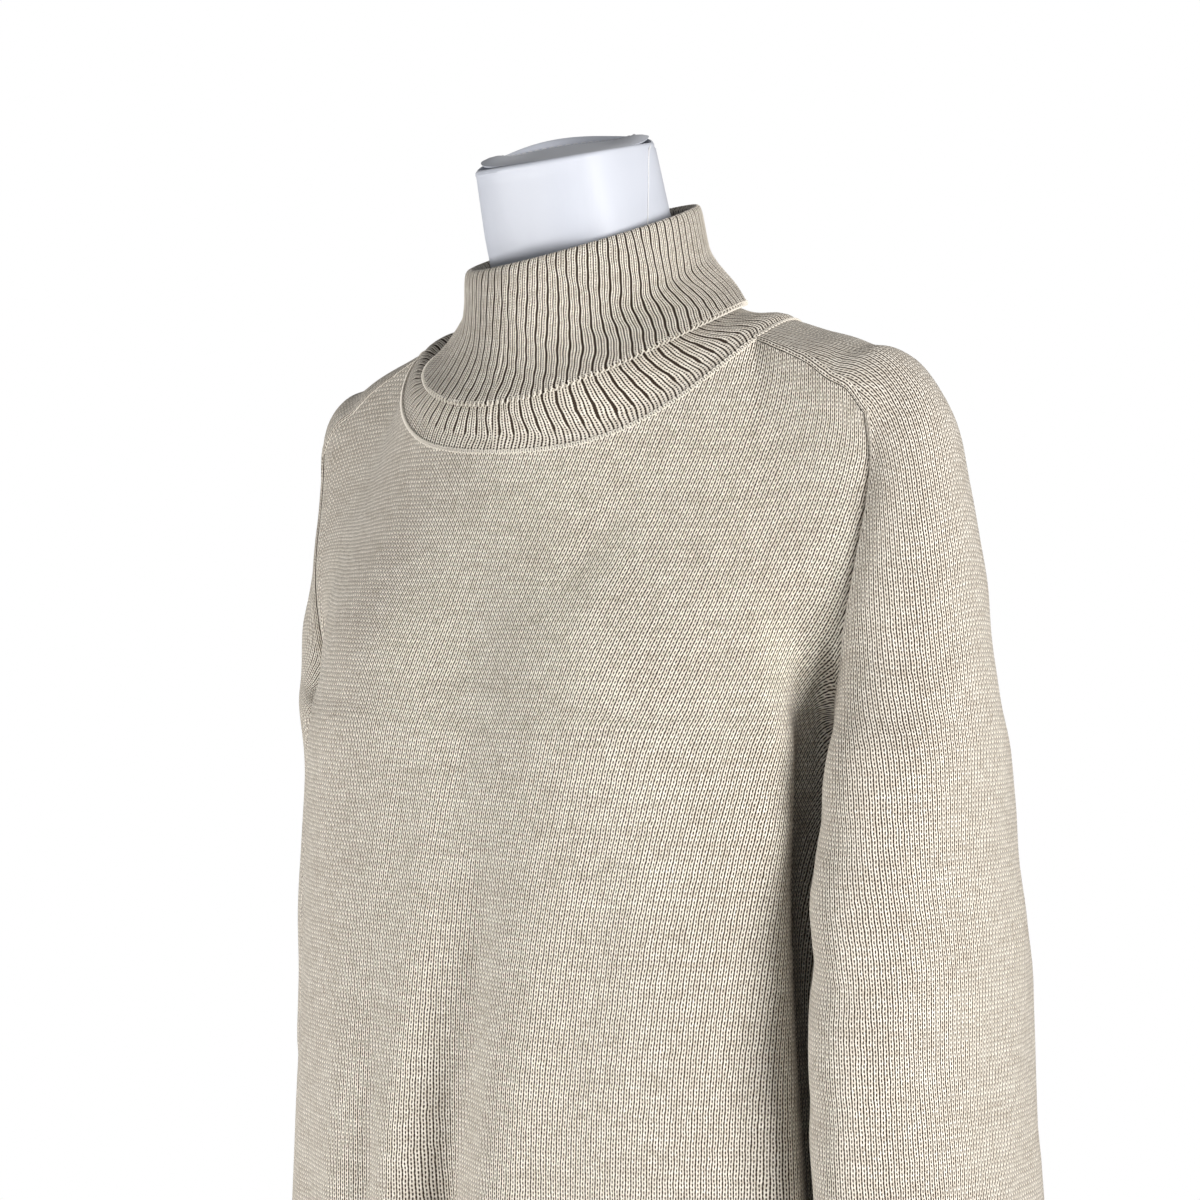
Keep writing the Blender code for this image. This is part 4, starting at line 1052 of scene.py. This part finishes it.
# ---- the dress ----
def dress_surfaces():
    """Fine outer grids, normals and knit coordinates of the four cut pieces."""
    sleeves = {"left": sleeve_grid(1), "right": sleeve_grid(-1)}
    front, front_shares = panel_grid(-1, sleeves)
    back, back_shares = panel_grid(1, sleeves)
    strap_ends = (STRAP_ROWS, STRAP_ROWS + NECKLINE_COLUMNS)
    arm_ends = (SLEEVE_TUBE_ROWS, SLEEVE_TUBE_ROWS + ARMHOLE_ROWS)
    panels = [refine_grid(grid, FINER, strap_ends, (PANEL_SKIRT_ROWS,)) for grid in (front, back)]
    tubes = [
        refine_grid(sleeves["left"], FINER, (), arm_ends, SLEEVE_TUBE_ROWS + 1),
        refine_grid(sleeves["right"], FINER, (), arm_ends, SLEEVE_TUBE_ROWS + 1)[:, ::-1],
    ]
    for tube in tubes:
        tube[:SLEEVE_TUBE_ROWS * FINER + 1, -1] = tube[:SLEEVE_TUBE_ROWS * FINER + 1, 0]
    grids = panels + tubes
    normals = shared_normals(grids)
    knits = [panel_knit(grids[0], normals[0], CHEST_SKEW), panel_knit(grids[1], normals[1], 0.0)]
    knits += [sleeve_knit(grids[2]), sleeve_knit(grids[3])]
    fine_columns = np.arange(grids[0].shape[1]) / FINER
    coarse_columns = np.arange(len(front_shares))
    for k, (first_turn, shares) in enumerate(((0.0, front_shares), (0.5, back_shares))):
        fine_shares = np.interp(fine_columns, coarse_columns, shares)
        grids[k] = fold_panel(grids[k], normals[k], fine_shares, first_turn, RIPPLE_SEEDS[k])
    for k in (2, 3):
        grids[k] = fold_sleeve(grids[k], normals[k], RIPPLE_SEEDS[k])
    edges = [np.stack([seam_distance(grid), np.zeros(grid.shape[:2])], axis=-1) for grid in grids]
    return grids, shared_normals(grids), knits, edges


def neckline_seam(grids, normals):
    """The pieces' upper edges joined into one ring, starting at the centre front."""
    neck = slice(STRAP_ROWS * FINER, (STRAP_ROWS + NECKLINE_COLUMNS) * FINER + 1)
    rings = []
    for source in (grids, normals):
        front, back, left, right = source
        ring = np.concatenate([front[-1, neck][:-1], left[-1][:-1], back[-1, neck][:-1], right[-1][:-1]])
        rings.append(np.roll(ring, -(NECKLINE_COLUMNS * FINER // 2), axis=0))
    return rings


def collar_ring(row, turns):
    x, y = oval_ring(turns, row.half_width, row.front, row.back, row.centre)
    z = ring_height(turns, row.z_front, row.z_back, row.crown, row.power, row.lean)
    return np.stack([x, y, z], axis=1)


def even_ring(row, count):
    fine = np.linspace(0.0, 2.0 * np.pi, 1441)
    length = lengths(collar_ring(row, fine))
    return collar_ring(row, np.interp(np.arange(count) / count * length[-1], length, fine))


def spread(ring, count):
    """Points evenly spaced along a closed ring, starting at its first point."""
    loop = closed_line(ring)
    length = lengths(loop)
    return read_line(np.arange(count) / count * length[-1], length, loop)


def outward(ring, above):
    run = np.roll(ring, -1, axis=0) - np.roll(ring, 1, axis=0)
    return unit(np.cross(run, above - ring))


def collar_rings(seam, seam_normals):
    """Rings once round the band's section, and which of them carry ribs."""
    count = COLLAR_COLUMNS
    base = spread(seam, count)
    at = np.arange(count) / count * len(seam)
    base_normal = unit(read_line(at, np.arange(len(seam) + 1), closed_line(seam_normals)))
    stand = [even_ring(row, count) for row in STAND]
    folded = [even_ring(row, count) for row in FOLDED]
    fold_line = even_ring(FOLD_LINE, count)
    fold_inside = even_ring(FOLD_INSIDE, count)
    stand_path = [base] + stand
    stand_out = [outward(stand_path[k], stand_path[k + 1]) for k in range(len(stand_path) - 1)]
    folded_path = folded + [fold_line]
    folded_out = [outward(folded_path[k], folded_path[k + 1]) for k in range(len(folded_path) - 1)]
    shift = unit(stand[0] - base) * HALF_GAP

    outer_stand = np.array([base + shift] + stand)
    under_fold = np.array([folded[k] - folded_out[k] * WALL for k in (3, 2, 1, 0)])
    outer_fold = np.array(folded + [fold_line, fold_inside])
    inside_top = folded[3] - folded_out[3] * (WALL + LAYER_GAP + WALL)
    inside = np.array(
        [fold_inside, inside_top]
        + [stand[k] - stand_out[k + 1] * WALL for k in (2, 1, 0)]
        + [base - base_normal * WALL + shift]
    )
    stretches = [
        ("stand", refine_line(outer_stand, STAND_FINER)),
        ("hidden", under_fold),
        ("fold", refine_line(outer_fold, FOLD_FINER)),
        ("inside", refine_line(inside, INSIDE_FINER)[1:]),
    ]
    return stretches


def rib_relief(phase, depth):
    """Height across one rib: two wales with a slight dip between, and a narrow furrow."""
    furrow = np.exp(-((wrapped(phase) / FURROW_WIDTH) ** 2))
    dip = np.exp(-((wrapped(phase - 0.5) / DIP_WIDTH) ** 2))
    return depth * (0.30 - 0.45 * furrow - 0.15 * dip)


def wave(turns):
    return np.sin(2.0 * np.pi * turns)


def rib_wander(rib, height):
    """How far a rib leaves its straight line, in shares of a rib."""
    slow = wave(rib / 11.3 + height * 11.0) * wave(rib / 27.0 + height * 4.0)
    quick = wave(rib * 0.37 + height * 62.0) * wave(rib * 0.11 + height * 23.0)
    return 0.20 * slow + 0.06 * quick


def beside(values):
    """Each row's values at the next column."""
    return np.roll(values, -1, axis=1)


def add_collar(seam, seam_normals, material, thread):
    stretches = collar_rings(seam, seam_normals)
    rings = np.concatenate([ring for _, ring in stretches])
    kinds = [kind for kind, ring in stretches for _ in range(len(ring))]
    count = COLLAR_COLUMNS
    rows = len(rings)
    run = np.roll(rings, -1, axis=1) - np.roll(rings, 1, axis=1)
    up = np.roll(rings, -1, axis=0) - np.roll(rings, 1, axis=0)
    normals = unit(np.cross(run, up))
    ends = np.cumsum([0] + [len(ring) for _, ring in stretches])
    path = np.zeros((rows, count))
    for first, last in zip(ends[:-1], ends[1:]):
        steps = np.linalg.norm(np.diff(rings[first:last], axis=0), axis=-1)
        path[first + 1:last] = np.cumsum(steps, axis=0)
    # Ribs start at a furrow half a rib before the centre front.
    columns_a_rib = count // COLLAR_RIBS
    rib = np.arange(count)[None, :] / columns_a_rib + 0.5 + np.zeros((rows, 1))
    relief = np.zeros((rows, count))
    # furrow goes to the material in the seam marks and sets how wide the painted shade in each rib furrow
    # is.
    furrow = np.ones((rows, count))
    for row, kind in enumerate(kinds):
        if kind == "stand":
            wide = smooth_step((path[row] - FINE_BAND + BAND_CHANGE) / (2.0 * BAND_CHANGE))
            pit = np.exp(-(((path[row] - FINE_BAND - PIT_ABOVE) / PIT_REACH) ** 2))
            relief[row] = rib_relief(rib[row], RIB_HEIGHT) * wide
            relief[row] -= PIT_DEPTH * RIB_HEIGHT * pit * np.exp(-((wrapped(rib[row]) / PIT_WIDTH) ** 2))
            # The pits above the fine band get some of the painted furrow shade.
            furrow[row] = wide + PIT_OPEN * pit
        elif kind == "fold":
            relief[row] = rib_relief(rib[row], RIB_HEIGHT)
        elif kind == "inside":
            relief[row] = -rib_relief(rib[row] + 0.5, 0.5 * RIB_HEIGHT) * (1.0 if row < rows - 2 else 0.0)
    over = [row for row, kind in enumerate(kinds) if kind == "fold"]
    relief[over[-FOLD_FINER:]] *= np.linspace(1.0, 0.3, FOLD_FINER)[:, None]
    on_stand = np.array([kind == "stand" for kind in kinds])[:, None]
    held = np.where(on_stand, smooth_step(path / FINE_BAND), 1.0)
    shift = rib_wander(rib, path) * held * columns_a_rib * 0.5
    points = rings + normals * relief[..., None] + run * shift[..., None]
    above = np.roll(np.arange(rows), -1)
    same = (np.array(kinds)[above] == np.array(kinds)) & (above > 0)
    next_path = np.where(same[:, None], path[above], path + 0.002)
    next_furrow = furrow[above]
    next_rib = rib + 1.0 / columns_a_rib
    corners = (
        np.stack([rib, next_rib, next_rib, rib], axis=-1),
        np.stack([path, beside(path), beside(next_path), next_path], axis=-1),
        np.stack([furrow, beside(furrow), beside(next_furrow), next_furrow], axis=-1),
    )
    layers = {
        "knit": np.stack(corners[:2], axis=-1),
        "seam": np.stack([corners[2], np.zeros_like(corners[2])], axis=-1),
    }
    faces = ring_faces(rows, count, True)
    collar = add_mesh("collar_ribbed", points.reshape(-1, 3), faces, material, layers)
    lip_outside = stretches[2][1][0]
    lip_inside = stretches[1][1][-1]
    middle = 0.5 * (lip_outside + lip_inside)
    across = unit(lip_outside - lip_inside)
    return collar, add_loops("collar_bind_off", middle, across, BIND_OFF, thread)


def add_loops(name, line, normals, loops, material):
    """A closed row of yarn loops wrapped round a line."""
    loop = closed_line(line)
    length = lengths(loop)
    count = int(round(length[-1] / loops.pitch))
    turn = np.arange(count * LOOP_STEPS) / LOOP_STEPS
    phase = 2.0 * np.pi * turn
    place = (turn - 0.5 * loops.slant * np.sin(2.0 * phase)) / count * length[-1] % length[-1]
    centre = read_line(place, length, loop)
    normal = unit(read_line(place, length, closed_line(normals)))
    run = unit(np.roll(centre, -LOOP_STEPS, axis=0) - np.roll(centre, LOOP_STEPS, axis=0))
    across = unit(np.cross(normal, run))
    side = loops.across * np.sin(phase)
    lift = loops.rise + loops.swing * np.cos(loops.beats * phase)
    path = centre + across * side[:, None] + normal * lift[:, None]
    return add_tube(name, path, normal, loops.radius, material)


def add_dress():
    knit = knit_material("heathered_knit", "panel")
    sleeve_knit_look = knit_material("heathered_sleeve_knit", "sleeve")
    rib = knit_material("heathered_rib", "rib")
    thread = thread_material("linking_yarn", YARN_LIGHT)
    grids, normals, knits, edges = dress_surfaces()
    closed = SLEEVE_TUBE_ROWS * FINER + 1
    cuts = (
        ("front_panel", knit, 0, (0.56, 0.98), 0.47),
        ("back_panel", knit, 0, (0.55, 0.99), 0.46),
        ("sleeve_left", sleeve_knit_look, closed, (0.30, 0.72), 0.19),
        ("sleeve_right", sleeve_knit_look, closed, (0.30, 0.72), 0.18),
    )
    for k, (node, look, rows, flat, area) in enumerate(cuts):
        layers = {"knit": knits[k], "seam": edges[k]}
        piece = add_wall(node + "_knit", grids[k], normals[k], layers, look, rows)
        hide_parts(node)
    seam, seam_normals = neckline_seam(grids, normals)
    chain = add_loops("neckline_chain", seam, seam_normals, NECK_CHAIN, thread)
    collar, bind_off = add_collar(seam, seam_normals, rib, thread)
    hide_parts("collar")


# ---- the dress form ----
def form_ring(row, grow=0.0, lift=0.0):
    z, half_width, front, back, centre, lean, square = row
    angle = np.arange(FORM_COLUMNS) / FORM_COLUMNS * 2.0 * np.pi
    power = 2.0 / square
    x = (half_width + grow) * signed_power(np.sin(angle), power)
    forward = signed_power(np.cos(angle), power)
    depth = np.where(forward > 0, front + grow, back + grow)
    level = z + lift - lean * forward * (1.0 + grow / front)
    return np.stack([x, centre - depth * forward, level], axis=1)


def add_loft(name, rings, material):
    rings = np.array(rings)
    rows, size = rings.shape[:2]
    points = np.concatenate([rings.reshape(-1, 3), [rings[0].mean(axis=0), rings[-1].mean(axis=0)]])
    faces = ring_faces(rows, size)
    for k in range(size):
        n = (k + 1) % size
        faces.append((n, k, rows * size))
        faces.append(((rows - 1) * size + k, (rows - 1) * size + n, rows * size + 1))
    return add_mesh(name, points, faces, material)


def face_axes():
    a = np.radians(FACE_AZIMUTH)
    return np.array([np.cos(a), np.sin(a)]), np.array([np.sin(a), -np.cos(a)])


def face_place(points):
    """Distances of points from the neck's centre, to the face's right and towards it."""
    right, forward = face_axes()
    plan = np.asarray(points)[..., :2] - np.array(NECK_CENTRE)
    return plan @ right, plan @ forward


def rim_level(points):
    to_right, ahead = face_place(points)
    slope = np.where(ahead > 0.0, -RIM_FRONT, -RIM_BACK)
    return RIM_LEVEL + RIM_RIGHT * to_right + slope * ahead


def top_level(points):
    """Level of the neck's top: it rises from the front rim to the back."""
    to_right, ahead = face_place(points)
    rim_ahead = np.sqrt(np.maximum(RIM_RADIUS ** 2 - to_right ** 2, 0.0))
    level = RIM_LEVEL + RIM_RIGHT * to_right - RIM_FRONT * rim_ahead + TOP_SLOPE * (rim_ahead - ahead)
    turn = np.degrees(np.arctan2(ahead, to_right))
    reach = np.hypot(to_right, ahead) / RIM_RADIUS
    for fold_turn, height in COVER_FOLDS:
        away = (turn - fold_turn + 180.0) % 360.0 - 180.0
        level = level + height * np.exp(-((away / FOLD_SPREAD) ** 2)) * smooth_step((reach - 0.50) / 0.30)
    return level


def shrunk(ring, share):
    centre = np.array([*NECK_CENTRE, 0.0])
    return np.column_stack([(centre + share * (ring - centre))[:, :2], ring[:, 2]])


def neck_rings(below, top):
    """From the last plain ring up over the rim and a little down its inside."""
    rings = []
    rim = top.copy()
    rim[:, 2] = rim_level(top)
    for share in (0.25, 0.50, 0.75, 0.90):
        rings.append(below + share * (rim - below))
    for share, drop in RIM_ROUND:
        ring = shrunk(rim, share)
        ring[:, 2] = rim[:, 2] - drop
        rings.append(ring)
    floor = np.minimum(top_level(rings[-1]) - 0.0022, rings[-1][:, 2] - 0.0005)
    rings.append(np.column_stack([shrunk(rim, 0.925)[:, :2], floor]))
    return rings


def cap_rings(top):
    """A thin panel of cloth inside the rim, closed underneath."""
    upper = []
    for share in CAP_UPPER:
        ring = shrunk(top, share)
        ring[:, 2] = top_level(ring) - 0.0006 * smooth_step((share - 0.86) / 0.08)
        upper.append(ring)
    lower = []
    for share in CAP_LOWER:
        ring = shrunk(top, share)
        ring[:, 2] = top_level(ring) - CAP_DEPTH
        lower.append(ring)
    return lower + upper


def add_form():
    cover = cover_material()
    thread = thread_material("cover_thread", COVER_THREAD)
    levels = [row.z for row in TORSO[:-1]]
    values = [tuple(row) for row in TORSO[:-1]]
    steps = [np.linspace(low, high, 5)[:-1] for low, high in zip(levels[:-1], levels[1:])]
    heights = np.concatenate(steps + [levels[-1:]])
    rings = [form_ring(smooth_through(levels, values, z)) for z in heights]
    top = form_ring(tuple(TORSO[-1]))
    neck = neck_rings(rings[-1], top)
    body = add_loft("form_cover", rings + neck, cover)
    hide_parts("form_body")
    cap = add_loft("cap_cover", cap_rings(top), cover)
    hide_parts("neck_cap")
    add_cover_seams(rings[-4:] + neck[:6], top, thread)


def add_cover_seams(wall, top, thread):
    """A sewn ridge down each side of the neck, and a row of stitches along the top."""
    wall = np.array(wall)
    count = wall.shape[1]
    for title, side in (("left", 0.0), ("right", 180.0)):
        line = []
        for k, ring in enumerate(wall[::-1]):
            to_right, ahead = face_place(ring)
            turn = np.degrees(np.arctan2(ahead, to_right))
            wanted = side + np.interp(k / (len(wall) - 1), (0.0, 1.0), SEAM_TURNS)
            away = np.abs((turn - wanted + 180.0) % 360.0 - 180.0)
            near = int(np.argmin(away))
            beside = min((near - 1) % count, (near + 1) % count, key=lambda j: away[j])
            share = away[near] / max(away[near] + away[beside], 1e-9)
            line.append(ring[near] * (1.0 - share) + ring[beside] * share)
        line = refine_line(np.array(line), 6)
        out = line - np.array([*NECK_CENTRE, 0.0])
        out[:, 2] = 0.0
        out = unit(out)
        add_tube("neck_seam_" + title, line + 0.0001 * out, out, SEAM_RADIUS, thread, False)
    ring = shrunk(top, 0.86)
    ring[:, 2] = top_level(ring) + 0.0002
    to_right, ahead = face_place(ring)
    back = ring[np.argsort(np.arctan2(-ahead, to_right))]
    back = back[face_place(back)[1] < -0.012]
    length = lengths(back)
    for k, start in enumerate(np.arange(0.0, length[-1] - STITCH, 1.6 * STITCH)):
        stitch = read_line(start + np.linspace(0.0, 1.0, 5) * STITCH, length, back)
        stitch[:, 2] += 0.0003 * np.sin(np.linspace(0.0, np.pi, 5))
        upward = np.tile((0.0, 0.0, 1.0), (5, 1))
        add_tube("top_stitch_%02d" % k, stitch, upward, STITCH_RADIUS, thread, False)


def finish_stand():
    steel = steel_material()
    for name in ("stand_pole", "base_plate"):
        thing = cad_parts[name]
        thing.data.materials.clear()
        thing.data.materials.append(steel)


# ---- the studio ----
def direction(azimuth, elevation):
    a = np.radians(azimuth)
    e = np.radians(elevation)
    return Vector((np.sin(a) * np.cos(e), -np.cos(a) * np.cos(e), np.sin(e)))


def aim(thing, target):
    thing.rotation_euler = (target - thing.location).to_track_quat("-Z", "Y").to_euler()


def add_camera():
    target = Vector((0.0, 0.0, TARGET_Z))
    data = bpy.data.cameras.new("camera")
    data.sensor_fit = "HORIZONTAL"
    data.sensor_width = SENSOR
    data.lens = SENSOR * CAMERA_DISTANCE / (METRES_PER_PIXEL * IMAGE_PIXELS)
    data.clip_start = 0.05
    camera = link_object("camera", data)
    camera.location = target + CAMERA_DISTANCE * direction(CAMERA_AZIMUTH, CAMERA_ELEVATION)
    aim(camera, target)
    bpy.context.scene.camera = camera


def add_light(light):
    target = Vector((0.0, 0.0, TARGET_Z))
    data = bpy.data.lights.new(light.name, "AREA")
    data.shape = "DISK"
    data.size = light.size
    data.energy = light.power
    data.color = light.colour
    lamp = link_object(light.name, data)
    lamp.location = target + light.distance * direction(CAMERA_AZIMUTH + light.turn, light.elevation)
    aim(lamp, target)


def add_sky():
    world = bpy.data.worlds.new("studio")
    world.use_nodes = True
    background = world.node_tree.nodes["Background"]
    bright = world.node_tree.nodes.new("ShaderNodeBackground")
    for node, strength in ((background, SKY_LIGHT), (bright, SKY_SEEN)):
        node.inputs["Color"].default_value = (1.0, 1.0, 1.0, 1.0)
        node.inputs["Strength"].default_value = strength
    rays = world.node_tree.nodes.new("ShaderNodeLightPath")
    blend = world.node_tree.nodes.new("ShaderNodeMixShader")
    links = world.node_tree.links
    links.new(rays.outputs["Is Camera Ray"], blend.inputs[0])
    links.new(background.outputs[0], blend.inputs[1])
    links.new(bright.outputs[0], blend.inputs[2])
    links.new(blend.outputs[0], world.node_tree.nodes["World Output"].inputs[0])
    bpy.context.scene.world = world


def add_floor():
    graph = Graph("pale_floor")
    cloud = graph.noise(graph.solid(), 3.0, 3.0)
    graph.set("Base Color", graph.mix(cloud, FLOOR_DARK, FLOOR_LIGHT))
    graph.set("Roughness", 0.8)
    turns = np.arange(FLOOR_SIDES) / FLOOR_SIDES * 2.0 * np.pi
    rim = [(FLOOR_RADIUS * np.cos(turn), FLOOR_RADIUS * np.sin(turn), 0.0) for turn in turns]
    mesh = bpy.data.meshes.new("floor")
    mesh.from_pydata(rim, [], [tuple(range(FLOOR_SIDES))])
    mesh.materials.append(graph.material)
    link_object("floor", mesh)


bpy.context.scene.view_settings.view_transform = "Standard"
add_camera()
for light in LIGHTS:
    add_light(light)
add_sky()
add_floor()
add_form()
finish_stand()
add_dress()
